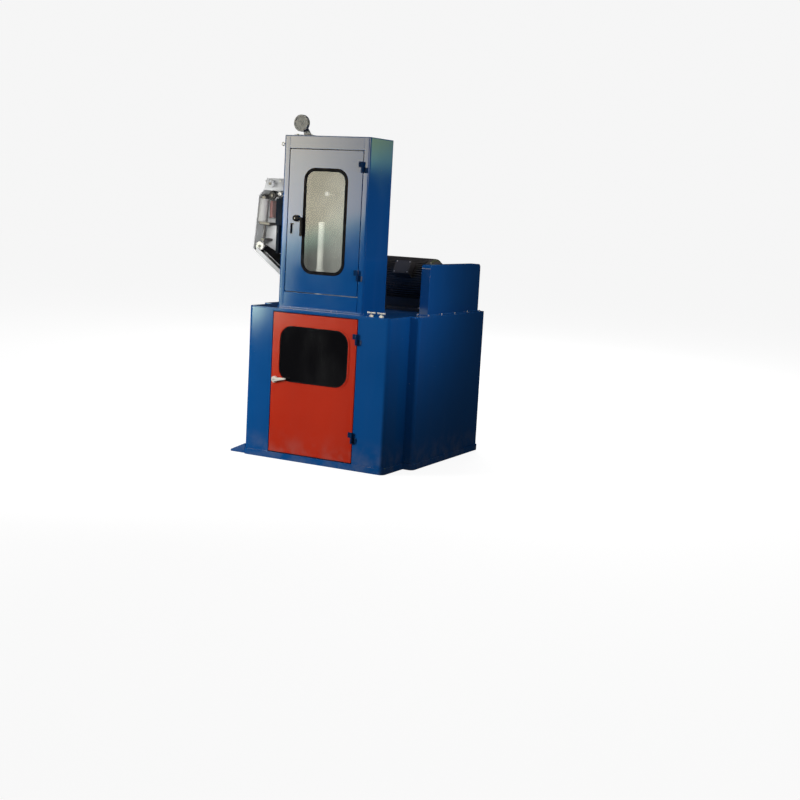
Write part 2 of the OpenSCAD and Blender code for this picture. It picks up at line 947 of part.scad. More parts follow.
module roller_frame() {
    place() color(black) at_roller() {
        translate([0, 0, -roller_l / 2 - end_gap - arm_t])
            cylinder(r = rod_r, h = roller_l + end_gap + 2 * arm_t + rod_end);
        translate([low_rod_shift, 0, -rod_low]) cylinder(r = rod_r, h = rod_low - roller_l / 2 - end_gap);
        roller_arm(roller_l / 2 + end_gap, -arm_w / 2, arm_w);
        roller_arm(-roller_l / 2 - end_gap - arm_t, -arm_w / 2, low_arm_w);
        roller_arm(rod_end - rod_low, low_rod_shift - arm_w / 2, arm_w);
    }
}

module guide_roller() {
    place() color(cream) at_roller() difference() {
        translate([0, 0, -roller_l / 2]) cylinder(r = roller_r, h = roller_l);
        translate([0, 0, -roller_l]) cylinder(r = rod_r + run_gap, h = 2 * roller_l);
    }
}

entry_eye_out = 50;
entry_eye_up = 678;
entry_eye_at = [tower_x - entry_eye_out, tray_face, base_h + entry_eye_up];
entry_rod_r = 5;
entry_rod_l = 50;
entry_ring_r = 13;
entry_ring_t = 12;

module entry_eye() {
    place() color(cream) translate(entry_eye_at) rotate([90, 0, 0]) {
        cylinder(r = entry_rod_r, h = entry_rod_l + entry_ring_t);
        translate([0, 0, entry_rod_l]) cylinder(r = entry_ring_r, h = entry_ring_t);
    }
}

// The felt and the channel beside it stand out from the tray's back; the post carries the channel
felt_out = 113;
felt_t = 20;
felt_front = 18;
felt_z0 = 533;
felt_z1 = 635;
channel_out = 67;
channel_w = 48;
channel_front = 15;
channel_z0 = 489;
channel_z1 = 654;
post_out = 62;
post_w = 22;
post_front = 20;
post_z0 = 321;
post_lap = 10;

module felt_wiper() {
    place() color([0.40, 0.12, 0.12])
        translate([tower_x - felt_out, tray_y0 + felt_front, base_h + felt_z0])
            cube([felt_t, tray_face - tray_y0 - felt_front, felt_z1 - felt_z0]);
}

module wiper_channel() {
    place() color(blue) {
        translate([tower_x - channel_out, tray_y0 + channel_front, base_h + channel_z0])
            cube([channel_w, tray_face - tray_y0 - channel_front, channel_z1 - channel_z0]);
        translate([tower_x - post_out, tray_y0 + post_front, base_h + post_z0])
            cube([post_w, tray_face - tray_y0 - post_front, channel_z0 - post_z0 + post_lap]);
    }
}

module exit_pulley() {
    place() color(cream) front_wheel(exit_pulley_at, exit_pulley_r, exit_pulley_t, tray_pin_r + run_gap);
}

module guide_wheel() {
    place() color(black) front_wheel(guide_wheel_at, guide_wheel_r, guide_wheel_t, tray_pin_r + run_gap);
}

module corner_roller() {
    place() color(cream)
        front_wheel(corner_roller_at, corner_roller_r, corner_roller_t, tray_pin_r + run_gap);
}

// Motor, its shaft along X towards the belt guard
guard_x1 = rear_x1 - guard_inset;
guard_x0 = guard_x1 - guard_w;
guard_y1 = base_d - guard_back_inset;
guard_y0 = guard_y1 - guard_l;
motor_z = base_h + motor_shaft_h;
shaft_gap = 40;
motor_x1 = guard_x0 - shaft_gap;
motor_x0 = motor_x1 - motor_l;
cowl_l = 80;
shield_l = 55;
cowl_rim = 12;
cowl_step = 20;
shield_r = motor_r - 14;
shield_step = 40;
shaft_r = 21;
seat_gap = 0.3;
rail_t = 20;
rail_w = 320;
foot_w = 220;
foot_inset = 30;
frame_x0 = motor_x0 + cowl_l;
frame_x1 = motor_x1 - shield_l;

module along_motor(x0, r, l) {
    translate([x0, motor_y, motor_z]) rotate([0, 90, 0]) cylinder(r = r, h = l);
}

module motor_base() {
    frame_l = frame_x1 - frame_x0;
    place() color(black) difference() {
        union() {
            translate([frame_x0, motor_y - rail_w / 2, base_h]) cube([frame_l, rail_w, rail_t]);
            translate([frame_x0 + foot_inset, motor_y - foot_w / 2, base_h])
                cube([frame_l - 2 * foot_inset, foot_w, motor_shaft_h - motor_r / 2]);
        }
        along_motor(motor_x0, motor_r + seat_gap, motor_l);
    }
}

module motor_frame() {
    place() color(black) along_motor(frame_x0, motor_r, frame_x1 - frame_x0);
}

module motor_fan_cowl() {
    place() color(black) {
        along_motor(motor_x0 + cowl_rim, motor_r - cowl_rim / 4, cowl_l - cowl_rim);
        along_motor(motor_x0, motor_r - cowl_step, cowl_l);
    }
}

module motor_end_shield() {
    place() color(black) {
        along_motor(frame_x1, shield_r, shield_l - cowl_rim);
        along_motor(frame_x1, shield_r - shield_step, shield_l);
        along_motor(frame_x1, shaft_r, guard_x0 - frame_x1);
    }
}

box_l = 110;
box_w = 90;
box_h = 55;
box_turn = 62;
box_off = 135;

module terminal_box() {
    place() color(black) difference() {
        translate([frame_x1 - box_off, motor_y, motor_z]) rotate([box_turn, 0, 0])
            translate([-box_l / 2, -box_w / 2, 0]) cube([box_l, box_w, motor_r + box_h]);
        along_motor(motor_x0, motor_r + seat_gap, motor_l);
    }
}

flange_w = 14;
flange_t = 3;

module belt_guard() {
    place() color(blue) {
        along_x(guard_x0, guard_w) translate([guard_y0, base_h]) {
            round_rect(guard_l, guard_h, guard_r);
            square([guard_l, guard_h / 2]);
        }
        translate([guard_x0 - flange_w, guard_y0 - flange_w, base_h])
            cube([guard_w + 2 * flange_w, guard_l + 2 * flange_w, flange_t]);
    }
}

// Two small shut-off valves on the deck, each with a wing handle
valve_base_r = 14;
valve_base_h = 9;
stem_r = 6;
wing_w = 52;
wing_t = 8;
wing_h = 13;

module deck_valves() {
    place() color(steel) for (i = [0, 1])
        translate([base_w - valve_x - i * valve_pitch, valve_y, base_h]) {
            cylinder(r = valve_base_r, h = valve_base_h, $fn = 6);
            cylinder(r = stem_r, h = valve_h - wing_h / 2);
            translate([-wing_w / 2, -wing_t / 2, valve_h - wing_h]) cube([wing_w, wing_t, wing_h]);
        }
}

plinth();
anchor_feet();
floor_plate();
front_left_wall();
front_right_wall();
rear_left_wall();
rear_right_wall();
back_wall();
front_top_rail();
deck_plate();
chamber_back();
drawing_cones();
die_bar();
tower_left_wall();
tower_right_wall();
tower_back_wall();
tower_roof();
tower_head_rail();
tower_sill_panel();
tower_foot_strip();
tower_liner();
steam_tube();
ceramic_guide();
hinge_pins();
latch_hook();
lower_door_panel();
lower_glass();
lower_knuckles();
lower_handle_boss();
lower_handle_lever();
upper_door_panel();
upper_gasket();
upper_glass();
upper_knuckles();
upper_handle_boss();
upper_handle_lever();
top_pulley_stand();
top_pulley();
guide_eye();
exit_tray();
roller_frame();
guide_roller();
entry_eye();
felt_wiper();
wiper_channel();
exit_pulley();
guide_wheel();
corner_roller();
motor_base();
motor_frame();
motor_fan_cowl();
motor_end_shield();
terminal_box();
belt_guard();
deck_valves();
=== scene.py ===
"""Dresses the wire drawing machine: its finishes, its fine pieces, the stage and the camera."""

import json
import math
from contextlib import contextmanager

import bmesh
import bpy
from bpy.props import FloatProperty, FloatVectorProperty, IntProperty, PointerProperty
from mathutils import Matrix, Vector


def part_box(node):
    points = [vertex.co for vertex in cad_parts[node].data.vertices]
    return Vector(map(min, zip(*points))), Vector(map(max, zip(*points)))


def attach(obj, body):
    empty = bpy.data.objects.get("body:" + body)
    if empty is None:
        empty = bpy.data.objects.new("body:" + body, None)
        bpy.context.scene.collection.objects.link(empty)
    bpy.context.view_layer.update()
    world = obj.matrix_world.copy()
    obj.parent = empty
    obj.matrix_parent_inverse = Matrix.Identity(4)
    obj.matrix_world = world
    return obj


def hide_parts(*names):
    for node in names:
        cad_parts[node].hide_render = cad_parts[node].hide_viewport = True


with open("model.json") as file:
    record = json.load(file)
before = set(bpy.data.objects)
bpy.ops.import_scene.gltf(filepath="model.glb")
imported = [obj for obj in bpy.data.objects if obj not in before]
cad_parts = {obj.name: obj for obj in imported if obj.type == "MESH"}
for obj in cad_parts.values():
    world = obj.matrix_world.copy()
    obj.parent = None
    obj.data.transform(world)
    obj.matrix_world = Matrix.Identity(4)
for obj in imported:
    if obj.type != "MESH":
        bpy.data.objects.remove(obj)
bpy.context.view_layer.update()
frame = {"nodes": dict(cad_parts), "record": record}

bl_info = {
    "name": "Wire Drawing Machine",
    "version": (1, 0, 0),
    "blender": (4, 5, 0),
    "location": "3D View > Sidebar > Machine",
    "description": "Builds the looks of a wire drawing machine around its construction",
    "category": "Object",
}

MM = 0.001
RIGHT = Vector((1, 0, 0))
LEFT = Vector((-1, 0, 0))
FRONT = Vector((0, -1, 0))
UP = Vector((0, 0, 1))


# Sizes and colours that a user would change

def tint(name, description, value):
    return FloatVectorProperty(name=name, description=description, subtype="COLOR", size=3,
                               min=0.0, max=1.0, default=value)


def length(name, description, value):
    return FloatProperty(name=name, description=description, unit="LENGTH", min=0.0, default=value)


def brightness(name, mirror, value):
    return FloatProperty(name=name, description="Brightness of the light mirrored by " + mirror,
                         min=0.0, default=value)


class MachineColours(bpy.types.PropertyGroup):
    """Colours of the machine's finishes."""

    blue: tint("Blue enamel", "Cabinet, tower, tray and guard", (0.004, 0.078, 0.27))
    red: tint("Red enamel", "Lower door", (0.50, 0.024, 0.007))
    black: tint("Black enamel", "Motor, handle and roller frame", (0.065, 0.062, 0.060))
    grey: tint("Grey enamel", "Plate and bar in the drawing chamber", (0.20, 0.21, 0.22))
    cream: tint("Cream enamel", "Lever of the lower door", (0.72, 0.68, 0.60))
    liner: tint("Liner cream", "Lining of the tower", (0.50, 0.50, 0.45))
    # Pale grey is a painted reflection: it stands for the glare that washes the exit tray's front
    # and inner faces
    pale: tint("Pale grey", "Front and inner faces of the exit tray", (0.52, 0.53, 0.53))
    steel: tint("Steel", "Pulleys, pins and valves", (0.70, 0.70, 0.685))
    ceramic: tint("White ceramic", "Rollers and eyes", (0.54, 0.535, 0.51))
    felt: tint("Brown felt", "Wiping pad", (0.20, 0.105, 0.096))
    # Navy is painted shade: the dark channel stands where the tray plate beside the tower lies in
    # shade
    navy: tint("Navy", "Channel on the exit tray", (0.003, 0.006, 0.012))
    jet: tint("Jet black", "Handle and hook of the upper door", (0.010, 0.010, 0.012))
    bone: tint("Bone white", "Guide roller", (0.36, 0.36, 0.345))
    dull: tint("Dull steel", "Top pulley and its stand", (0.26, 0.265, 0.30))
    plastic: tint("Black plastic", "Guide wheel", (0.025, 0.025, 0.028))


class MachineDetails(bpy.types.PropertyGroup):
    """Sizes of the fine pieces."""

    sheet_edge: length("Sheet edge", "Rounding of a cut or folded sheet's edges", 0.0012)
    door_edge: length("Door edge", "Rounding of the doors' folded edges", 0.0022)
    fin_count: IntProperty(name="Fins", description="Cooling fins round the motor, counted without "
                           "the gap over its feet", min=12, max=90, default=60)
    fin_depth: length("Fin depth", "Depth of the motor's cooling fins", 0.013)


class StageSettings(bpy.types.PropertyGroup):
    """Camera and light."""

    camera_place: FloatVectorProperty(name="Camera place", description="Where the camera stands",
                                      subtype="TRANSLATION", default=(3.987, -7.146, 1.535))
    camera_yaw: FloatProperty(name="Yaw", description="Turn of the camera to the left",
                              subtype="ANGLE", default=0.4769)
    camera_pitch: FloatProperty(name="Pitch", description="Tilt of the camera, up is positive",
                                subtype="ANGLE", default=-0.1448)
    camera_roll: FloatProperty(name="Roll", description="Roll of the camera",
                               subtype="ANGLE", default=-0.0552)
    lens: FloatProperty(name="Lens", description="Focal length in millimetres", default=58.16)
    floor_radius: length("Floor radius", "Radius of the floor", 40.0)
    front_wash: brightness("Front wash", "the front of the tower", 6.96)
    corner_wash: brightness("Corner wash", "the base's upper left corner", 19.2)
    edge_wash: brightness("Edge wash", "the tower's rounded right corner", 4.8)
    side_wash: brightness("Side wash", "the right side of the tower", 1.08)


# Finishes

class Finish:
    """A material being made: a Principled shader, its output and the nodes that feed it."""

    def __init__(self, name, **sockets):
        self.material = bpy.data.materials.new(name)
        self.material.use_nodes = True
        self.tree = self.material.node_tree
        self.tree.nodes.clear()
        self.shader = self.node("ShaderNodeBsdfPrincipled")
        self.surface = self.node("ShaderNodeOutputMaterial").inputs["Surface"]
        self.link(self.shader.outputs[0], self.surface)
        self.place = self.node("ShaderNodeTexCoord").outputs["Object"]
        for socket, value in sockets.items():
            self.shader.inputs[socket.replace("_", " ")].default_value = value

    def node(self, kind, **settings):
        made = self.tree.nodes.new(kind)
        for key, value in settings.items():
            setattr(made, key, value)
        return made

    def link(self, source, target):
        self.tree.links.new(source, target)

    def noise(self, scale, detail=2.0, stretch=(1, 1, 1), roughness=0.5):
        """Noise on the object's coordinates, each axis first multiplied by its number in stretch."""
        mapping = self.node("ShaderNodeMapping")
        mapping.inputs["Scale"].default_value = stretch
        self.link(self.place, mapping.inputs["Vector"])
        made = self.node("ShaderNodeTexNoise")
        made.inputs["Scale"].default_value = scale
        made.inputs["Detail"].default_value = detail
        made.inputs["Roughness"].default_value = roughness
        self.link(mapping.outputs[0], made.inputs["Vector"])
        return made.outputs[0]

    def remap(self, value, low, high, to_low=0.0, to_high=1.0):
        """Smooth step of a value that goes from low to high."""
        made = self.node("ShaderNodeMapRange", interpolation_type="SMOOTHSTEP")
        self.link(value, made.inputs["Value"])
        for socket, number in zip(("From Min", "From Max", "To Min", "To Max"),
                                  (low, high, to_low, to_high)):
            made.inputs[socket].default_value = number
        return made.outputs["Result"]

    def maths(self, operation, a, b):
        """One sum of two values, each a number or another node's output."""
        made = self.node("ShaderNodeMath", operation=operation)
        for socket, value in zip(made.inputs, (a, b)):
            if isinstance(value, (int, float)):
                socket.default_value = value
            else:
                self.link(value, socket)
        return made.outputs[0]

    def times(self, a, b):
        return self.maths("MULTIPLY", a, b)

    def coordinates(self):
        """X, Y and Z of the object's coordinates."""
        parts = self.node("ShaderNodeSeparateXYZ")
        self.link(self.place, parts.inputs[0])
        return parts.outputs

    def blend(self, share, first, second):
        """Colour that goes from first to second with share."""
        made = self.node("ShaderNodeMix", data_type="RGBA")
        self.link(share, made.inputs[0])
        for socket, value in ((made.inputs[6], first), (made.inputs[7], second)):
            if hasattr(value, "links"):
                self.link(value, socket)
            else:
                socket.default_value = (*value, 1.0)
        return made.outputs[2]

    def colour(self, value):
        self.link(value, self.shader.inputs["Base Color"])

    def roughness(self, value):
        self.link(value, self.shader.inputs["Roughness"])

    def bump(self, value, distance, strength):
        """Adds a relief of that depth in metres, over the relief that is there already."""
        made = self.node("ShaderNodeBump")
        made.inputs["Distance"].default_value = distance
        made.inputs["Strength"].default_value = strength
        self.link(value, made.inputs["Height"])
        normal = self.shader.inputs["Normal"]
        if normal.is_linked:
            self.link(normal.links[0].from_socket, made.inputs["Normal"])
        self.link(made.outputs[0], normal)


def shade(colour, factor):
    return tuple(min(1.0, part * factor) for part in colour)


def mixed(colour, other, share):
    return tuple(a + (b - a) * share for a, b in zip(colour, other))


DUST = (0.32, 0.30, 0.27)
BARE_STEEL = (0.42, 0.40, 0.38)
WIRE_RUB = (0.28, 0.27, 0.26)
SMEAR_GREY = (0.5, 0.5, 0.5)
DUST_LINE = 0.22  # metres above the floor
CHIP_EDGE = 0.012  # how sharply a chip starts


def enamel(name, colour, rough, chips, dust=0.5):
    """Glossy sheet-metal paint: soft tone changes, orange peel, floor dust and a few small chips.
    Chips is how far noise must rise before steel shows, so a lower number gives more chips."""
    made = Finish(name, IOR=1.5, Coat_Weight=0.25, Coat_Roughness=0.08)
    tone = made.remap(made.noise(1.3, 3.0), 0.3, 0.7)
    paint = made.blend(tone, shade(colour, 0.92), shade(colour, 1.10))
    runs = made.remap(made.noise(9.0, 4.0, (1, 1, 0.07)), 0.45, 0.75)
    paint = made.blend(made.times(runs, 0.03), paint, mixed(colour, DUST, 0.5))
    low = made.remap(made.coordinates()["Z"], 0.0, DUST_LINE, 1.0, 0.0)
    settled = made.times(low, made.remap(made.noise(14.0, 5.0), 0.35, 0.7))
    paint = made.blend(made.times(settled, dust * 0.35), paint, DUST)
    spots = made.remap(made.noise(70.0, 3.0, roughness=0.7), chips, chips + CHIP_EDGE)
    made.colour(made.blend(spots, paint, BARE_STEEL))
    smear = made.noise(5.0, 5.0, (1, 1, 0.6))
    made.roughness(made.remap(smear, 0.3, 0.75, rough, rough + 0.07))
    made.bump(made.noise(2.2, 1.0), 0.004, 0.35)
    made.bump(made.noise(420.0, 1.0), 0.00004, 0.5)
    made.bump(spots, 0.0002, 0.6)
    return made.material


def satin(name, colour, rough):
    """Thin satin paint with rub marks and dust, on small parts and inner panels."""
    made = Finish(name, IOR=1.4, Specular_IOR_Level=0.18)
    tone = made.remap(made.noise(8.0, 4.0), 0.3, 0.7)
    paint = made.blend(tone, shade(colour, 0.88), shade(colour, 1.12))
    rubbed = made.remap(made.noise(30.0, 5.0, (1, 1, 0.3)), 0.60, 0.72)
    made.colour(made.blend(made.times(rubbed, 0.25), paint, BARE_STEEL))
    made.roughness(made.remap(made.noise(16.0, 3.0), 0.3, 0.7, rough, rough + 0.15))
    made.bump(made.noise(500.0, 1.0), 0.00006, 0.5)
    return made.material


def turned_metal(name, colour, rough, grain=(1, 0.05, 1)):
    """Machined or plated steel with stains and fine lines, dulled by an oil film. Grain stretches
    the lines along an axis."""
    made = Finish(name, Metallic=0.55)
    stain = made.remap(made.noise(24.0, 5.0), 0.35, 0.75)
    made.colour(made.blend(stain, shade(colour, 1.05), shade(colour, 0.80)))
    lines = made.noise(900.0, 2.0, grain)
    made.roughness(made.remap(lines, 0.3, 0.7, rough, rough + 0.16))
    made.bump(lines, 0.00004, 0.6)
    return made.material


def glaze(name, colour):
    """Fired ceramic: a clear glaze over an even, slightly speckled body with wire rub marks."""
    made = Finish(name, IOR=1.55, Coat_Weight=0.4, Coat_Roughness=0.05)
    speckle = made.remap(made.noise(160.0, 4.0), 0.62, 0.72)
    body = made.blend(made.noise(9.0, 3.0), shade(colour, 0.90), shade(colour, 1.05))
    body = made.blend(made.times(speckle, 0.4), body, shade(colour, 0.55))
    rubbed = made.remap(made.noise(11.0, 4.0, (0.3, 0.3, 6.0)), 0.62, 0.70)
    made.colour(made.blend(made.times(rubbed, 0.35), body, WIRE_RUB))
    made.roughness(made.remap(made.noise(30.0), 0.3, 0.7, 0.14, 0.30))
    made.bump(made.noise(120.0), 0.00006, 0.5)
    return made.material


def moulded_plastic(name, colour):
    """Grained plastic, polished in places by the wire."""
    made = Finish(name, IOR=1.46)
    made.colour(made.blend(made.noise(60.0, 4.0), shade(colour, 0.8), shade(colour, 1.3)))
    made.roughness(made.remap(made.noise(18.0, 3.0), 0.3, 0.7, 0.32, 0.55))
    made.bump(made.noise(700.0), 0.00008, 0.5)
    return made.material


def rubber(name):
    """Black sealing rubber with a little bloom on it."""
    made = Finish(name, IOR=1.45, Specular_IOR_Level=0.03)
    bloom = made.remap(made.noise(22.0, 5.0), 0.45, 0.8)
    made.colour(made.blend(bloom, (0.009, 0.009, 0.010), (0.030, 0.030, 0.031)))
    made.roughness(made.remap(made.noise(40.0, 3.0), 0.3, 0.7, 0.38, 0.58))
    made.bump(made.noise(600.0, 2.0), 0.00012, 0.5)
    return made.material


def glass(name, colour, clear, gloss=0.15):
    """Pane with wiped smears. Clear is how much light goes through, gloss how much it mirrors."""
    made = Finish(name, IOR=1.45, Transmission_Weight=clear, Specular_IOR_Level=gloss)
    smear = made.remap(made.noise(6.0, 5.0, (1, 1, 0.35)), 0.4, 0.75)
    made.colour(made.blend(smear, colour, mixed(colour, SMEAR_GREY, 0.04)))
    made.roughness(made.remap(smear, 0.0, 1.0, 0.03, 0.12))
    return made.material


def felt(name, colour):
    """Pressed wool felt, oily where the wire runs."""
    made = Finish(name, Sheen_Weight=0.5, Sheen_Roughness=0.5, IOR=1.3)
    fibres = made.noise(180.0, 6.0, roughness=0.8)
    made.colour(made.blend(fibres, shade(colour, 0.55), shade(colour, 1.5)))
    made.roughness(made.remap(made.noise(40.0), 0.3, 0.7, 0.80, 0.97))
    made.bump(made.noise(650.0, 4.0, roughness=0.8), 0.0009, 0.9)
    return made.material


def make_finishes(colours):
    """All finishes, by name."""
    return {
        "blue": enamel("blue_enamel", colours.blue, 0.08, 0.745),
        # Edge finish: the lighter tone is a painted highlight on the rounded edges, the extra chips
        # are wear
        "blue_edge": enamel("blue_enamel_edge", shade(colours.blue, 1.25), 0.10, 0.64),
        "dark_blue": satin("dark_blue_satin", shade(colours.blue, 0.30), 0.50),
        "navy": satin("navy_satin", colours.navy, 0.45),
        "jet": satin("jet_black_satin", colours.jet, 0.36),
        "bone": satin("bone_white_satin", colours.bone, 0.42),
        # Pale grey satin is a painted reflection of glare on the exit tray
        "pale": satin("pale_grey_glare_satin", colours.pale, 0.42),
        "red": enamel("red_enamel", colours.red, 0.20, 0.745),
        # Lighter red on the rounded edges is a painted highlight, its extra chips are wear
        "red_edge": enamel("red_enamel_edge", shade(colours.red, 1.1), 0.16, 0.64),
        "black": enamel("black_enamel", colours.black, 0.34, 0.74, dust=1.0),
        "grey": enamel("grey_enamel", colours.grey, 0.35, 0.72),
        "cream": enamel("cream_enamel", colours.cream, 0.22, 0.75),
        "liner": satin("liner_satin", colours.liner, 0.50),
        "steel": turned_metal("plated_steel", colours.steel, 0.30),
        "polished": turned_metal("polished_steel", shade(colours.steel, 1.1), 0.16),
        "turned": turned_metal("turned_steel", colours.steel, 0.30, (0.06, 1, 0.06)),
        "dull": turned_metal("dull_steel", colours.dull, 0.46),
        "ceramic": glaze("white_ceramic", colours.ceramic),
        "plastic": moulded_plastic("black_plastic", colours.plastic),
        "rubber": rubber("sealing_rubber"),
        "smoked": glass("smoked_glass", (0.012, 0.012, 0.014), 0.6),
        "clear": glass("clear_glass", (0.86, 0.88, 0.86), 1.0, 0.03),
        "felt": felt("brown_felt", colours.felt),
    }


FINISHES = {}

SLOT_FINISH = {
    "blue_paint": "blue", "red_paint": "red", "black_paint": "black", "grey_paint": "grey",
    "zinc_plated_steel": "steel", "hard_steel": "polished", "cream_lever": "cream",
    "white_ceramic": "ceramic", "black_plastic": "plastic", "liner_paint": "liner",
    "gasket_rubber": "rubber", "dark_glass": "smoked", "clear_glass": "clear", "brown_felt": "felt",
}


# Places and owners

# Front left corner of the base on the floor. Places given in millimetres start there.
CORNER = Vector((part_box("front_left_wall")[0].x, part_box("front_top_rail")[0].y, 0.0))

BODIES = frame["record"]["behaviour"]["bodies"]
BODY_OF = {node: body for body, nodes in BODIES.items() for node in nodes}
SLOT_OF = {row["node"]: row["material_slot"] for row in frame["record"]["subparts"]}


def at(x, y, z):
    """Place in the frame of a point in millimetres from the corner."""
    return CORNER + Vector((x, y, z)) * MM


def middle(node):
    low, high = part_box(node)
    return (low + high) / 2


def extent(node, axis):
    """Length in millimetres of a node's box along x, y or z."""
    low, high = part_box(node)
    return (getattr(high, axis) - getattr(low, axis)) / MM


# Modelling helpers

def only(obj):
    """Makes obj the one selected and active object."""
    bpy.ops.object.select_all(action="DESELECT")
    obj.select_set(True)
    bpy.context.view_layer.objects.active = obj


@contextmanager
def editing(obj, kind="FACE"):
    """Edit mode on obj, with everything selected at the start."""
    only(obj)
    bpy.ops.object.mode_set(mode="EDIT")
    bpy.ops.mesh.select_mode(type=kind)
    bpy.ops.mesh.select_all(action="SELECT")
    yield
    bpy.ops.object.mode_set(mode="OBJECT")


def pick(obj, test):
    """In edit mode, selects the faces whose middle and direction pass the test."""
    bpy.ops.mesh.select_all(action="DESELECT")
    mesh = bmesh.from_edit_mesh(obj.data)
    chosen = [face for face in mesh.faces if test(face.calc_center_median(), face.normal)]
    if not chosen:
        raise RuntimeError("no face of " + obj.name + " passes the test")
    for face in chosen:
        face.select_set(True)
    bmesh.update_edit_mesh(obj.data)


def block(name, low, high):
    """A box between two corners."""
    bpy.ops.object.select_all(action="DESELECT")
    bpy.ops.mesh.primitive_cube_add(size=1.0, location=(Vector(low) + Vector(high)) / 2)
    made = bpy.context.object
    made.name = name
    made.scale = Vector(high) - Vector(low)
    bpy.ops.object.transform_apply()
    return made


def turned(name, stations, vertices=48):
    """A turned piece on the Z axis: a disc pushed on from station to station, each its height and
    radius in mm."""
    height, radius = stations[0]
    bpy.ops.object.select_all(action="DESELECT")
    bpy.ops.mesh.primitive_circle_add(vertices=vertices, radius=radius * MM, fill_type="NGON",
                                      location=(0, 0, height * MM))
    made = bpy.context.object
    made.name = name
    bpy.ops.object.transform_apply(location=True, rotation=False, scale=False)
    with editing(made):
        for new_height, new_radius in stations[1:]:
            rise = (new_height - height) * MM
            bpy.ops.mesh.extrude_region_move(TRANSFORM_OT_translate={"value": (0, 0, rise)})
            if new_radius != radius:
                share = new_radius / radius
                bpy.ops.transform.resize(value=(share, share, 1),
                                         center_override=(0, 0, new_height * MM))
            height, radius = new_height, new_radius
        bpy.ops.mesh.select_all(action="SELECT")
        bpy.ops.mesh.normals_make_consistent(inside=False)
    return made


def aimed(made, place, direction):
    """Puts a piece made on the Z axis at place, its axis along direction."""
    turn = UP.rotation_difference(Vector(direction).normalized())
    made.matrix_world = Matrix.Translation(place) @ turn.to_matrix().to_4x4()
    only(made)
    bpy.ops.object.transform_apply()
    return made


def joined(name, parts):
    """One object from several."""
    only(parts[0])
    for part in parts:
        part.select_set(True)
    bpy.ops.object.join()
    made = bpy.context.object
    made.name = name
    return made


def repeated(name, model, spots):
    """Copies of a model made on the Z axis, joined, one at each place and in its direction. The
    model goes."""
    parts = []
    for place, direction in spots:
        made = model.copy()
        made.data = model.data.copy()
        bpy.context.scene.collection.objects.link(made)
        parts.append(aimed(made, place, direction))
    bpy.data.objects.remove(model)
    return joined(name, parts)


def round_edges(made, width, segments=2):
    """Rounds the sharp edges. The rounded strips take the second finish, where there is one."""
    only(made)
    bevel = made.modifiers.new("round", "BEVEL")
    bevel.width = width * MM
    bevel.segments = segments
    bevel.limit_method = "ANGLE"
    bevel.angle_limit = math.radians(30)
    bevel.material = len(made.data.materials) - 1
    bpy.ops.object.modifier_apply(modifier=bevel.name)


def finished(made, finishes, body, nodes=(), edge=0.0, segments=2):
    """Last steps for a piece: finishes, rounded edges, smooth shading, its body, and the nodes that
    it shows."""
    made.data.materials.clear()
    for name in finishes:
        made.data.materials.append(FINISHES[name])
    if edge:
        round_edges(made, edge, segments)
    only(made)
    bpy.ops.object.shade_smooth_by_angle(angle=math.radians(35))
    weighted = made.modifiers.new("normals", "WEIGHTED_NORMAL")
    weighted.keep_sharp = True
    bpy.ops.object.modifier_apply(modifier=weighted.name)
    if nodes:
        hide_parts(*nodes)
    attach(made, body)
    return made


def stand_in(made, node, finish=None, edge=0.0, segments=2):
    """Finishes a piece that is shown instead of a CAD node, on that node's body."""
    slot = SLOT_OF[node]
    finishes = (finish or SLOT_FINISH[slot],)
    return finished(made, finishes, BODY_OF[node], (node,), edge, segments)


def stand_in_front(made, node):
    """Shows a turned piece instead of a node, from the back of its box towards the front."""
    start = middle(node)
    start.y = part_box(node)[1].y
    return stand_in(aimed(made, start, FRONT), node)


def steel_fasteners(name, model, spots):
    """Plated bolts or screws on the fixed body."""
    finished(repeated(name, model, spots), ("steel",), "machine")


def merged_copy(node):
    """A copy of a CAD node with its triangles merged to whole faces."""
    made = bpy.data.objects.new(node + "_shown", frame["nodes"][node].data.copy())
    bpy.context.scene.collection.objects.link(made)
    with editing(made, "VERT"):
        bpy.ops.mesh.remove_doubles(threshold=0.01 * MM)
        bpy.ops.mesh.dissolve_limited(angle_limit=math.radians(0.4))
    return made


def sheet_metal(node, edge, segments=2, finish=None):
    """A copy of a folded or cut sheet with rounded edges that have worn paint, their tone lighter as
    a painted highlight.
    """
    slot = SLOT_OF[node]
    name = finish or SLOT_FINISH[slot]
    worn_and_highlit = name + "_edge"
    finishes = (name, worn_and_highlit) if worn_and_highlit in FINISHES else (name,)
    return finished(merged_copy(node), finishes, BODY_OF[node], (node,), edge, segments)


def window_ring(name, low, high, radius, width, edge):
    """A ring round a window in a front face, between two corners, its section rounded by edge."""
    bpy.ops.object.select_all(action="DESELECT")
    bpy.ops.mesh.primitive_plane_add(size=1.0, rotation=(math.radians(90), 0, 0),
                                     location=((low.x + high.x) / 2, low.y, (low.z + high.z) / 2))
    made = bpy.context.object
    made.name = name
    made.scale = (high.x - low.x, high.z - low.z, 1.0)
    bpy.ops.object.transform_apply()
    with editing(made, "VERT"):
        bpy.ops.mesh.bevel(affect="VERTICES", offset=radius * MM, offset_type="OFFSET", segments=14)
    with editing(made):
        bpy.ops.mesh.inset(thickness=width * MM)
        bpy.ops.mesh.delete(type="FACE")
    with editing(made):
        bpy.ops.mesh.extrude_region_move(TRANSFORM_OT_translate={"value": (0, high.y - low.y, 0)})
        bpy.ops.mesh.select_all(action="SELECT")
        bpy.ops.mesh.normals_make_consistent(inside=False)
    round_edges(made, edge, 4)
    return made


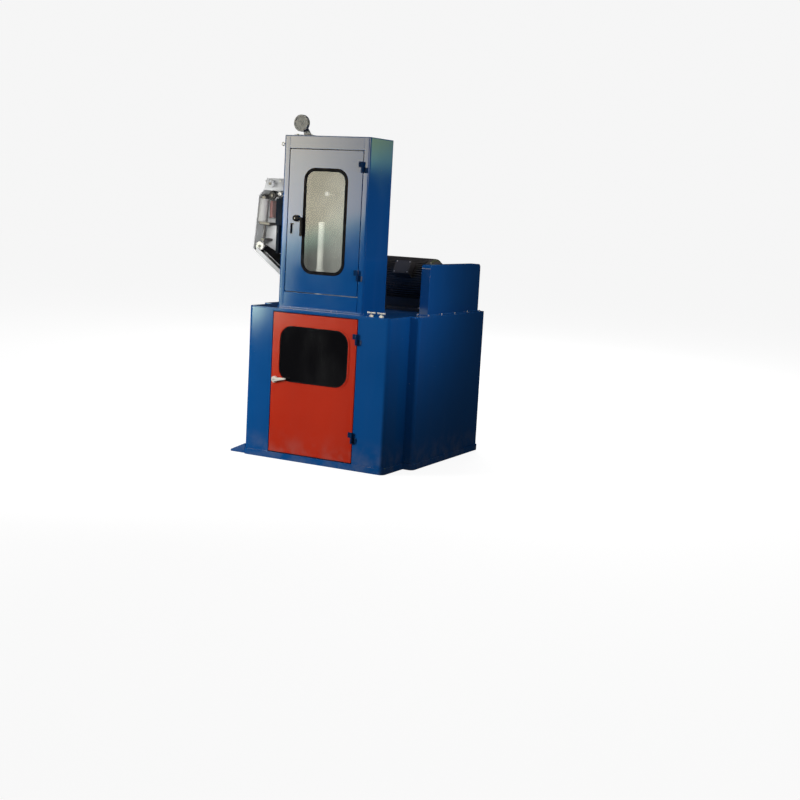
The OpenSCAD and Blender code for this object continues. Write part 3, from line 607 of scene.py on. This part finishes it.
def grooved_wheel(name, radius, thickness, groove, web=2.5):
    """A wheel with a groove for the wire, a web set in on both sides, and a hub."""
    half = thickness / 2
    hub, rim = radius * 0.36, radius * 0.80
    side = [(-half, hub), (web - half, hub + 1), (web - half, rim - 1), (-half, rim),
            (-half, radius - 1), (1 - half, radius)]
    cut = [(-half * 0.55, radius), (-1, radius - groove), (1, radius - groove),
           (half * 0.55, radius)]
    other = [(-height, width) for height, width in reversed(side)]
    return turned(name, side + cut + other, 64)


def hex_bolt(size):
    """A hex head on a washer, its underside at the origin. Size is the head's radius in mm."""
    washer = turned("washer", [(0, size * 1.25), (size * 0.2, size * 1.25)], 20)
    head = turned("head", [(size * 0.15, size), (size * 0.75, size), (size * 0.85, size * 0.86)], 6)
    return joined("bolt", [washer, head])


def round_screw(size):
    """A domed head with a round socket. Size is the head's radius in mm."""
    return turned("screw", [(0, size), (size * 0.35, size * 0.96), (size * 0.6, size * 0.72),
                            (size * 0.65, size * 0.4), (size * 0.3, size * 0.36)], 16)


# Steps that build the machine

# Thickness of the tray's rubber guard, a dark plate of painted shade
SHADE_PLATE_THICK = 3.0
SHIELD_FLANGE = 9.0

# The terminal box leans out from the motor by this angle
LID_TILT = math.radians(62)
LID_FACING = Vector((0, -math.sin(LID_TILT), math.cos(LID_TILT)))
LID_UP = Vector((0, math.cos(LID_TILT), math.sin(LID_TILT)))


class WIRE_OT_cabinet(bpy.types.Operator):
    """Plinth, feet, walls, rail and deck of the base, with folded edges"""

    bl_idname = "wire_machine.cabinet"
    bl_label = "Base Cabinet"

    def execute(self, context):
        edge = context.scene.wire_details.sheet_edge / MM
        for node in ("front_left_wall", "front_right_wall", "rear_left_wall", "rear_right_wall",
                     "back_wall", "front_top_rail", "floor_plate", "deck_plate"):
            sheet_metal(node, edge)
        for node in ("plinth", "anchor_feet"):
            sheet_metal(node, edge * 1.4)
        return {"FINISHED"}


class WIRE_OT_chamber(bpy.types.Operator):
    """Back plate, die bar and the four stepped drawing cones behind the lower door"""

    bl_idname = "wire_machine.chamber"
    bl_label = "Drawing Chamber"

    def execute(self, context):
        sheet_metal("chamber_back", 0.8)
        sheet_metal("die_bar", 2.0)
        low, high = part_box("drawing_cones")
        depth = extent("drawing_cones", "y")
        radius, steps, hub, drop = 112.0, 4, 36.0, 14.0
        step = (depth - hub) / steps
        stations = [(0, 30), (hub, 30), (hub, radius - 3), (hub + 3, radius)]
        for number in range(steps):
            wide = radius - drop * number
            end = hub + step * (number + 1)
            stations += [(end - 6, wide - 1), (end - 3, wide + 0.5), (end - 0.8, wide - 0.5),
                         (end, wide - drop - 2)]
        stations += [(depth, 46), (depth - 6, 44), (depth - 6, 18), (depth - 1, 17), (depth - 1, 6)]
        cone = turned("cone", [(height, min(wide, radius)) for height, wide in stations], 72)
        reach = radius * MM
        spots = [(Vector((x, high.y, z)), FRONT) for x in (low.x + reach, high.x - reach)
                 for z in (low.z + reach, high.z - reach)]
        stand_in(repeated("stepped_cones", cone, spots), "drawing_cones", "turned")
        return {"FINISHED"}


class WIRE_OT_tower(bpy.types.Operator):
    """Walls, roof, rails and lining of the tower, the steam tube and the ceramic guide"""

    bl_idname = "wire_machine.tower"
    bl_label = "Annealing Tower"

    def execute(self, context):
        edge = context.scene.wire_details.sheet_edge / MM
        for node in ("tower_left_wall", "tower_right_wall", "tower_back_wall", "tower_roof",
                     "tower_head_rail", "tower_sill_panel"):
            sheet_metal(node, edge)
        sheet_metal("tower_foot_strip", 1.5)
        sheet_metal("tower_liner", 0.8)
        tall = extent("steam_tube", "z")
        tube = turned("steam_pipe", [
            (0, 25), (6, 25), (7, 24), (200, 24), (201, 25), (236, 25), (240, 21), (250, 20),
            (tall - 12, 20), (tall - 2, 20), (tall, 18.5), (tall, 15), (tall - 30, 14)], 40)
        foot = middle("steam_tube")
        foot.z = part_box("steam_tube")[0].z
        stand_in(aimed(tube, foot, UP), "steam_tube")
        long = extent("ceramic_guide", "y")
        guide = turned("wire_guide", [
            (0, 6), (long - 24, 6), (long - 23, 12), (long - 21, 14), (long - 15, 14),
            (long - 13, 9), (long - 11, 9), (long - 9, 14), (long - 5, 14), (long - 3, 12),
            (long - 3, 7), (long, 5)], 32)
        stand_in_front(guide, "ceramic_guide")
        return {"FINISHED"}


class WIRE_OT_doors(bpy.types.Operator):
    """Folded door panels, window seals, hinge barrels and hinge pins"""

    bl_idname = "wire_machine.doors"
    bl_label = "Doors"

    def execute(self, context):
        edge = context.scene.wire_details.door_edge / MM
        for node in ("lower_door_panel", "upper_door_panel"):
            sheet_metal(node, edge, 3)
        for node in ("lower_knuckles", "upper_knuckles", "hinge_pins"):
            sheet_metal(node, 0.8, 2, "dark_blue")
        low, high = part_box("upper_gasket")
        gasket = window_ring("window_gasket", low, high, radius=75.0, width=20.0, edge=4.0)
        stand_in(gasket, "upper_gasket")
        # The seal lies on the front of the dark glass, inside its edge
        low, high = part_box("lower_glass")
        lap, thick = Vector((14, 0, 14)) * MM, Vector((0, 2.5, 0)) * MM
        high = Vector((high.x, low.y, high.z)) - lap
        seal = window_ring("window_seal", low + lap - thick, high, radius=84.0, width=8.0, edge=1.1)
        finished(seal, ("rubber",), "lower_door")
        return {"FINISHED"}


class WIRE_OT_handles(bpy.types.Operator):
    """Lever of the lower door, L-shaped handle and hook of the upper door, with their bosses"""

    bl_idname = "wire_machine.handles"
    bl_label = "Handles"

    def execute(self, context):
        for node, edge, finish in (
                ("lower_handle_lever", 3.2, None), ("lower_handle_boss", 2.0, None),
                ("upper_handle_lever", 3.0, "jet"), ("upper_handle_boss", 2.0, "jet"),
                ("latch_hook", 2.0, "jet")):
            stand_in(merged_copy(node), node, finish, edge, segments=4)
        return {"FINISHED"}


class WIRE_OT_wheels(bpy.types.Operator):
    """Top pulley, exit pulley, guide wheel, corner roller and the white guide roller"""

    bl_idname = "wire_machine.wheels"
    bl_label = "Wheels and Rollers"

    def execute(self, context):
        for node, groove, finish in (("top_pulley", 7.0, "dull"), ("exit_pulley", 5.0, None),
                                     ("guide_wheel", 5.0, None), ("corner_roller", 5.0, "pale")):
            radius, thickness = extent(node, "x") / 2, extent(node, "y")
            wheel = grooved_wheel(node + "_turned", radius, thickness, groove)
            stand_in(aimed(wheel, middle(node), FRONT), node, finish)
        radius, half, lean = 27.0, 70.0, math.radians(5)
        end = [(half - 9, radius), (half - 2.5, radius), (half, radius - 2.5), (half, 16),
               (half - 4, 15), (half - 4, 8)]
        start = [(-height, width) for height, width in reversed(end)]
        waist = [(10 - half, radius - 1), (half - 10, radius - 1)]
        sleeve = turned("ceramic_sleeve", start + waist + end, 64)
        along = (math.sin(lean), 0, math.cos(lean))
        stand_in(aimed(sleeve, middle("guide_roller"), along), "guide_roller", "bone")
        return {"FINISHED"}


class WIRE_OT_tray(bpy.types.Operator):
    """Exit tray with a rubber guard of painted shade at its foot, roller frame, felt, channel, eyes,
    pulley stand
    """

    bl_idname = "wire_machine.tray"
    bl_label = "Exit Tray"

    def execute(self, context):
        low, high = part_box("exit_tray")
        pan = sheet_metal("exit_tray", 0.8)
        pale, dark = len(pan.data.materials), len(pan.data.materials) + 1
        pan.data.materials.append(FINISHES["pale"])
        pan.data.materials.append(FINISHES["black"])
        # Black pins; black on the sloping foot's inner face as painted shade; pale grey on the front
        # and inner faces as a painted reflection of glare; and the rest blue
        pins = [middle(node) for node in ("exit_pulley", "guide_wheel", "corner_roller")]
        pin_reach = 8 * MM
        for face in pan.data.polygons:
            centre, normal = face.center, face.normal
            if any(math.hypot(centre.x - pin.x, centre.z - pin.z) < pin_reach for pin in pins):
                face.material_index = dark
            # Black on the sloping foot's inner face is painted shade
            elif normal.x > 0.3 and normal.z > 0.5 and centre.z < (low.z + high.z) / 2:
                face.material_index = dark
            elif normal.y < -0.5 or normal.x > 0.3:
                face.material_index = pale
        # The guard is a black rubber plate of painted shade: it lies on the back panel, cut to
        # slopes over it and along the foot
        left, right, bottom, top = -50, 140, 1124, 1296
        cuts = ((at(left, 0, top), (0.42, 0, 0.907)), (at(left + 6, 0, 1258), (-0.586, 0, -0.811)))
        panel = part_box("felt_wiper")[1].y
        low, high = at(left, 0, bottom), at(right, 0, top)
        low.y, high.y = panel - SHADE_PLATE_THICK * MM, panel
        guard = block("tray_shade_plate", low, high)
        with editing(guard):
            for place, direction in cuts:
                bpy.ops.mesh.select_all(action="SELECT")
                bpy.ops.mesh.bisect(plane_co=place, plane_no=direction, use_fill=True,
                                    clear_outer=True)
        finished(guard, ("rubber",), "machine", edge=0.8)
        # The channel's dark navy is painted shade
        sheet_metal("wiper_channel", 5.0, 4, "navy")
        sheet_metal("top_pulley_stand", 1.2, 2, "dull")
        stand_in(merged_copy("roller_frame"), "roller_frame", edge=1.5, segments=3)
        stand_in(merged_copy("felt_wiper"), "felt_wiper", edge=2.0, segments=4)
        stand_in(merged_copy("guide_eye"), "guide_eye", edge=0.5)
        long = extent("entry_eye", "y")
        eye = turned("ceramic_eye", [
            (0, 5), (long - 13, 5), (long - 12, 10), (long - 10, 13), (long - 3, 13), (long, 10.5),
            (long, 6), (long - 3, 4)], 40)
        stand_in_front(eye, "entry_eye")
        return {"FINISHED"}


class WIRE_OT_motor(bpy.types.Operator):
    """Finned motor frame, fan cowl with its grille, end shield, feet and terminal box"""

    bl_idname = "wire_machine.motor"
    bl_label = "Motor"

    def execute(self, context):
        details = context.scene.wire_details
        axis = middle("motor_frame")
        outer = extent("motor_frame", "z") / 2
        depth = details.fin_depth / MM
        faces = details.fin_count * 3

        def on_axis(x):
            return Vector((x, axis.y, axis.z))

        bpy.ops.object.select_all(action="DESELECT")
        bpy.ops.mesh.primitive_cylinder_add(
            vertices=faces, radius=(outer - depth) * MM, depth=extent("motor_frame", "x") * MM,
            location=axis, rotation=(0, math.radians(90), 0))
        fins = bpy.context.object
        bpy.ops.object.transform_apply()

        def on_fin(centre, normal):
            """One face in three, but none over the feet. Angles start at the top."""
            angle = math.degrees(math.atan2(normal.y, normal.z)) % 360
            number = round(angle / 360 * faces - 0.5)
            return abs(normal.x) < 0.5 and number % 3 == 0 and not 140 < angle < 220

        with editing(fins):
            pick(fins, on_fin)
            bpy.ops.mesh.extrude_faces_move(TRANSFORM_OT_shrink_fatten={"value": depth * MM})
        low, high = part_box("motor_frame")
        ring = [(0, outer - 2), (1.5, outer), (12, outer), (14, outer - 3)]
        rings = [aimed(turned("ring", ring, 72), on_axis(x), facing)
                 for x, facing in ((low.x, RIGHT), (high.x, LEFT))]
        stand_in(joined("finned_frame", [fins] + rings), "motor_frame")

        start = on_axis(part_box("motor_fan_cowl")[0].x)
        wide = outer - 3
        grille = [(5, 20), (0, 22)]
        for number in range(5):
            slot = 34 + number * 18
            grille += [(0, slot), (7, slot + 1), (7, slot + 9), (0, slot + 10)]
        skirt = [(0, 126), (3, 134), (9, 143), (16, wide), (70, wide), (71, wide - 1.5),
                 (74, wide - 1.5), (75, wide), (80, wide)]
        parts = [aimed(turned("cowl", grille + skirt, 72), start, RIGHT)]
        for number in range(3):
            bar = block("bar", start + Vector((0, -3, -120)) * MM, start + Vector((4, 3, 120)) * MM)
            with editing(bar, "VERT"):
                bpy.ops.transform.rotate(value=math.radians(60) * number, orient_axis="X",
                                         center_override=axis)
            parts.append(bar)
        stand_in(joined("fan_cowl", parts), "motor_fan_cowl")

        reach = extent("motor_end_shield", "x")
        shield = turned("shield", [
            (0, outer - 1), (SHIELD_FLANGE, outer - 1), (11, 134), (30, 132), (42, 122), (43, 98),
            (53, 95), (55, 92), (55, 44), (51, 42), (51, 22), (51, 21), (reach, 21)], 72)
        start = on_axis(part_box("motor_end_shield")[0].x)
        stand_in(aimed(shield, start, RIGHT), "motor_end_shield")

        box = merged_copy("terminal_box")
        with editing(box):
            pick(box, lambda centre, normal: normal.dot(LID_FACING) > 0.99)
            bpy.ops.mesh.inset(thickness=5 * MM)
            for rise in (-2, 2):
                bpy.ops.mesh.inset(thickness=1.5 * MM, depth=rise * MM)
        stand_in(box, "terminal_box", edge=1.0)
        sheet_metal("motor_base", 2.0)
        return {"FINISHED"}


class WIRE_OT_guard(bpy.types.Operator):
    """Belt guard with soft folds"""

    bl_idname = "wire_machine.guard"
    bl_label = "Belt Guard"

    def execute(self, context):
        sheet_metal("belt_guard", 2.5, 3)
        return {"FINISHED"}


class WIRE_OT_valves(bpy.types.Operator):
    """Two small valves on the deck, each with a wing handle"""

    bl_idname = "wire_machine.valves"
    bl_label = "Deck Valves"

    def execute(self, context):
        low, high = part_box("deck_valves")
        tall = extent("deck_valves", "z")
        reach, wing, thick, neck = 26.0, 13.0, 4.0, 7.0
        base = turned("base", [(0, 13.5), (7, 13.5), (9, 12)], 6)
        stem = turned("stem", [(0, 7), (12, 7), (13, 5.5), (tall - 3, 5.5), (tall - 2, 4)], 20)
        handle = block("wing", Vector((-reach, -thick, tall - wing)) * MM,
                       Vector((reach, thick, tall)) * MM)
        with editing(handle):
            for place in (-neck, neck):
                bpy.ops.mesh.select_all(action="SELECT")
                bpy.ops.mesh.bisect(plane_co=(place * MM, 0, 0), plane_no=RIGHT)
            pick(handle, lambda centre, normal: abs(centre.x) < 6 * MM and abs(normal.y) < 0.5)
            bpy.ops.transform.resize(value=(1, 1, 0.55),
                                     center_override=(0, 0, (tall - wing / 2) * MM))
        round_edges(handle, 2.0, 3)
        valve = joined("valve", [base, stem, handle])
        across = (low.y + high.y) / 2
        spots = [(Vector((x, across, low.z)), UP)
                 for x in (low.x + reach * MM, high.x - reach * MM)]
        stand_in(repeated("wing_valves", valve, spots), "deck_valves", "polished")
        return {"FINISHED"}


class WIRE_OT_fasteners(bpy.types.Operator):
    """Bolts and screws of the hinges, motor, belt guard, tray, terminal box and pulley stand"""

    bl_idname = "wire_machine.fasteners"
    bl_label = "Bolts and Screws"

    def execute(self, context):
        low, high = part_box("belt_guard")
        inset, flange = 7 * MM, 3 * MM
        rows = [low.y + inset + (high.y - low.y - 2 * inset) * part / 4 for part in range(5)]
        steel_fasteners("guard_bolts", hex_bolt(4.2), [
            (Vector((x, y, low.z + flange)), UP)
            for x in (low.x + inset, high.x - inset) for y in rows])

        low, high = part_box("motor_base")
        inset, foot = 18 * MM, 20 * MM
        steel_fasteners("motor_bolts", hex_bolt(9.0), [
            (Vector((x, y, low.z + foot)), UP)
            for x in (low.x + inset, high.x - inset) for y in (low.y + inset, high.y - inset)])

        axis = middle("motor_frame")
        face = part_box("motor_end_shield")[0].x + SHIELD_FLANGE * MM
        reach = 142 * MM
        spots = []
        for part in range(6):
            angle = math.radians(30 + 60 * part)
            across, up = reach * math.sin(angle), reach * math.cos(angle)
            spots.append((Vector((face, axis.y + across, axis.z + up)), RIGHT))
        steel_fasteners("shield_bolts", hex_bolt(4.6), spots)

        from_axis, half_width, half_height = 204, 45, 35
        lid = axis + LID_FACING * from_axis * MM
        lid.x = middle("terminal_box").x
        steel_fasteners("lid_screws", round_screw(4.0), [
            (lid + RIGHT * half_width * MM * side + LID_UP * half_height * MM * end, LID_FACING)
            for side in (-1, 1) for end in (-1, 1)])

        low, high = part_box("top_pulley_stand")
        inset, along, plate = 16 * MM, 14 * MM, 6 * MM
        steel_fasteners("stand_bolts", hex_bolt(6.0), [
            (Vector((x, low.y + along, low.z + plate)), UP)
            for x in (low.x + inset, high.x - inset)])

        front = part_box("exit_tray")[0].y
        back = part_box("felt_wiper")[1].y
        # The last two tray screws sit on the rubber guard, a dark plate of painted shade
        on_shade_plate = back - SHADE_PLATE_THICK * MM
        steel_fasteners("tray_screws", round_screw(5.0), [
            (Vector((at(x, 0, z).x, y, at(x, 0, z).z)), FRONT)
            for x, y, z in ((133, front, 1672), (32, front, 1672), (49, back, 1370),
                            (129, on_shade_plate, 1170), (-34, on_shade_plate, 1268))])

        for nodes in ("lower_knuckles", "upper_knuckles"):
            low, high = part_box(nodes)
            strap, leaf, plate = 32 * MM, 9 * MM, 3 * MM
            spots = [(Vector((low.x + leaf, high.y - plate, z + rise * MM)), FRONT)
                     for z in (low.z, high.z - strap) for rise in (8, 24)]
            screws = repeated(nodes + "_screws", round_screw(3.2), spots)
            finished(screws, ("dark_blue",), BODY_OF[nodes])
        for node in ("lower_handle_lever", "upper_handle_lever"):
            hub = middle(node[:5] + "_handle_boss")
            hub.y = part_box(node)[0].y + 0.8 * MM
            screw = repeated(node + "_screw", round_screw(4.5), [(hub, FRONT)])
            finished(screw, ("steel",), BODY_OF[node])
        return {"FINISHED"}


# Stage

WARM = (1.0, 0.90, 0.64)
GREENISH = (0.74, 1.0, 0.76)
TEAL = (0.42, 1.0, 0.78)
YELLOWISH = (0.72, 1.0, 0.25)
PINKISH = (1.0, 0.86, 0.96)

# Heights over a panel's lower edge between which its lower colour gives way, in metres
TINT_FROM, TINT_TO = 0.05, 0.45


def hide_from(made, *rays):
    for ray in rays:
        setattr(made, "visible_" + ray, False)


def softbox(name, centre, size, strength, colour, low=None, lean=0.0, slope=0.0, soft=0.2):
    """An upright glowing panel that only glossy paint mirrors. It faces the machine and fades
    towards its edges over twice soft. Lean is how fast it dims to the right, slope how fast its
    lower edge rises to the right, low the colour of its lower edge."""
    bpy.ops.mesh.primitive_plane_add(size=1.0)
    panel = bpy.context.object
    panel.name = name
    panel.scale = (size[0], size[1], 1.0)
    facing = math.atan2(centre[1], centre[0]) + math.radians(90)
    panel.rotation_euler = (math.radians(90), 0, facing)
    only(panel)
    bpy.ops.object.transform_apply(location=False, rotation=False, scale=True)
    panel.location = centre
    made = Finish(name, Roughness=1.0)
    parts = made.coordinates()
    across, up = parts["X"], parts["Y"]
    half_x, half_y = size[0] / 2, size[1] / 2
    raised = made.maths("SUBTRACT", up, made.times(across, slope))
    mask = made.remap(raised, -half_y, -half_y + 2 * soft)
    for value, end in ((up, half_y), (across, half_x)):
        mask = made.times(mask, made.remap(value, end - 2 * soft, end, 1.0, 0.0))
    mask = made.times(mask, made.remap(across, -half_x, -half_x + 2 * soft))
    level = made.maths("SUBTRACT", 1.0, made.times(across, lean))
    level = made.times(mask, made.maths("MAXIMUM", level, 0.0))
    tinted = made.remap(raised, TINT_FROM - half_y, TINT_TO - half_y)
    glow = made.node("ShaderNodeEmission")
    made.link(made.blend(tinted, low or colour, colour), glow.inputs["Color"])
    made.link(made.times(level, strength), glow.inputs["Strength"])
    made.link(glow.outputs[0], made.surface)
    panel.data.materials.append(made.material)
    hide_from(panel, "camera", "diffuse", "transmission", "shadow")


def lamp(name, kind, place, target, power, size, **settings):
    """A soft light that isn't mirrored in the paint."""
    data = bpy.data.lights.new(name, kind)
    data.energy = power
    if kind == "AREA":
        data.size = size
    else:
        data.shadow_soft_size = size
    for key, value in settings.items():
        setattr(data, key, value)
    made = bpy.data.objects.new(name, data)
    bpy.context.scene.collection.objects.link(made)
    made.location = place
    made.rotation_euler = (Vector(target) - Vector(place)).to_track_quat("-Z", "Y").to_euler()
    hide_from(made, "camera", "glossy", "transmission")
    return made


def make_world(seen_level, mirrored_level, fill_level):
    """White for the camera and through glass, dim for the paint's mirror and for the fill light."""
    world = bpy.data.worlds.new("studio")
    bpy.context.scene.world = world
    world.use_nodes = True
    nodes, link = world.node_tree.nodes, world.node_tree.links.new
    nodes.clear()
    output = nodes.new("ShaderNodeOutputWorld")
    back = nodes.new("ShaderNodeBackground")
    back.inputs["Color"].default_value = (1, 1, 1, 1)
    path = nodes.new("ShaderNodeLightPath").outputs
    level = nodes.new("ShaderNodeMix")
    level.inputs[2].default_value = fill_level
    level.inputs[3].default_value = mirrored_level
    final = nodes.new("ShaderNodeMix")
    final.inputs[3].default_value = seen_level
    seen = nodes.new("ShaderNodeMath")
    seen.operation = "MAXIMUM"
    link(path["Is Glossy Ray"], level.inputs[0])
    link(level.outputs[0], final.inputs[2])
    link(path["Is Camera Ray"], seen.inputs[0])
    link(path["Is Transmission Ray"], seen.inputs[1])
    link(seen.outputs[0], final.inputs[0])
    link(final.outputs[0], back.inputs["Strength"])
    link(back.outputs[0], output.inputs[0])


def make_floor(radius):
    """A pale round floor that glows a little, so that it meets the white behind it."""
    bpy.ops.mesh.primitive_circle_add(vertices=96, radius=radius, fill_type="NGON")
    floor = bpy.context.object
    floor.name = "floor"
    made = Finish("pale_floor", Roughness=0.8, Emission_Strength=0.90, Specular_IOR_Level=0.1)
    made.shader.inputs["Emission Color"].default_value = (1, 1, 1, 1)
    made.colour(made.blend(made.noise(0.6, 3.0), (0.21, 0.21, 0.21), (0.23, 0.23, 0.23)))
    floor.data.materials.append(made.material)
    hide_from(floor, "glossy", "diffuse")


class WIRE_OT_stage(bpy.types.Operator):
    """Floor, soft light and the camera at the photo's angle"""

    bl_idname = "wire_machine.stage"
    bl_label = "Stage and Camera"

    def execute(self, context):
        settings = context.scene.wire_stage
        context.scene.view_settings.view_transform = "Standard"
        make_world(seen_level=0.92, mirrored_level=0.012, fill_level=0.10)
        make_floor(settings.floor_radius)
        softbox("front_softbox", (-3.75, -6.5, 2.46), (3.0, 3.0), settings.front_wash, WARM, TEAL,
                lean=0.68, slope=0.33, soft=0.20)
        softbox("corner_softbox", (-4.71, -6.54, 0.75), (0.95, 1.5), settings.corner_wash, GREENISH,
                soft=0.22)
        softbox("edge_softbox", (5.4, -7.4, 2.75), (8.0, 2.3), settings.edge_wash, WARM, TEAL,
                soft=0.40)
        softbox("side_softbox", (4.2, 7.0, 3.14), (4.2, 2.4), settings.side_wash, YELLOWISH, TEAL,
                lean=1.6, soft=0.11)
        lamp("key", "SPOT", (-2.6, -3.2, 1.5), (0.0, -0.5, 0.35), power=590, size=0.7,
             spot_size=math.radians(62), spot_blend=1.0)
        lamp("right_light", "SPOT", (1.7, -0.8, 1.3), (0.27, -0.3, 1.2), power=54, size=0.4,
             color=PINKISH, spot_size=math.radians(85), spot_blend=1.0)
        lamp("top_light", "AREA", (0.0, 0.3, 4.6), (0, 0, 0), power=75, size=3.0)
        lamp("back_light", "POINT", (-1.5, 4.5, 3.0), (0, 0, 0.9), power=560, size=1.2)
        lamp("chamber_lamp", "AREA", (0.0, -0.42, 1.36), (0.0, 0.0, 1.36), power=0.65, size=0.30,
             shape="RECTANGLE", size_y=0.7)
        tray_light = lamp("tray_light", "SPOT", (-0.16, -0.97, 1.47), (-0.45, -0.44, 1.44), power=11,
                          size=0.06, spot_size=math.radians(56), spot_blend=0.4)
        tray_light.scale.x = 0.45
        camera = bpy.data.objects.new("camera", bpy.data.cameras.new("camera"))
        context.scene.collection.objects.link(camera)
        camera.data.lens = settings.lens
        camera.data.clip_end = 200.0
        turn = Matrix.Rotation(settings.camera_yaw, 4, "Z")
        for angle, axis in ((settings.camera_pitch, "X"), (settings.camera_roll, "Y"),
                            (math.radians(90), "X")):
            turn = turn @ Matrix.Rotation(angle, 4, axis)
        camera.matrix_world = Matrix.Translation(settings.camera_place) @ turn
        context.scene.camera = camera
        return {"FINISHED"}


class WIRE_OT_finishes(bpy.types.Operator):
    """Paint, metal, glass and the other finishes, put on every part of the construction"""

    bl_idname = "wire_machine.finishes"
    bl_label = "Finishes"

    def execute(self, context):
        FINISHES.update(make_finishes(context.scene.wire_colours))
        for row in frame["record"]["subparts"]:
            node = frame["nodes"][row["node"]]
            node.data.materials.clear()
            node.data.materials.append(FINISHES[SLOT_FINISH[row["material_slot"]]])
        return {"FINISHED"}


STEPS = ("finishes", "cabinet", "chamber", "tower", "doors", "handles", "wheels", "tray", "motor",
         "guard", "valves", "fasteners", "stage")


class WIRE_PT_machine(bpy.types.Panel):
    """Lists the machine's sizes, colours and steps"""

    bl_label = "Wire Drawing Machine"
    bl_space_type = "VIEW_3D"
    bl_region_type = "UI"
    bl_category = "Machine"

    def draw(self, context):
        for name in STEPS:
            self.layout.operator("wire_machine." + name)
        scene = context.scene
        for group in (scene.wire_colours, scene.wire_details, scene.wire_stage):
            box = self.layout.box()
            for key in group.__annotations__:
                box.prop(group, key)


CLASSES = (MachineColours, MachineDetails, StageSettings, WIRE_OT_finishes, WIRE_OT_cabinet,
           WIRE_OT_chamber, WIRE_OT_tower, WIRE_OT_doors, WIRE_OT_handles, WIRE_OT_wheels,
           WIRE_OT_tray, WIRE_OT_motor, WIRE_OT_guard, WIRE_OT_valves, WIRE_OT_fasteners,
           WIRE_OT_stage, WIRE_PT_machine)


def register():
    for cls in CLASSES:
        bpy.utils.register_class(cls)
    bpy.types.Scene.wire_colours = PointerProperty(type=MachineColours)
    bpy.types.Scene.wire_details = PointerProperty(type=MachineDetails)
    bpy.types.Scene.wire_stage = PointerProperty(type=StageSettings)


def unregister():
    del bpy.types.Scene.wire_stage
    del bpy.types.Scene.wire_details
    del bpy.types.Scene.wire_colours
    for cls in reversed(CLASSES):
        bpy.utils.unregister_class(cls)


def main():
    register()
    for name in STEPS:
        getattr(bpy.ops.wire_machine, name)()


if __name__ == "__main__":
    main()
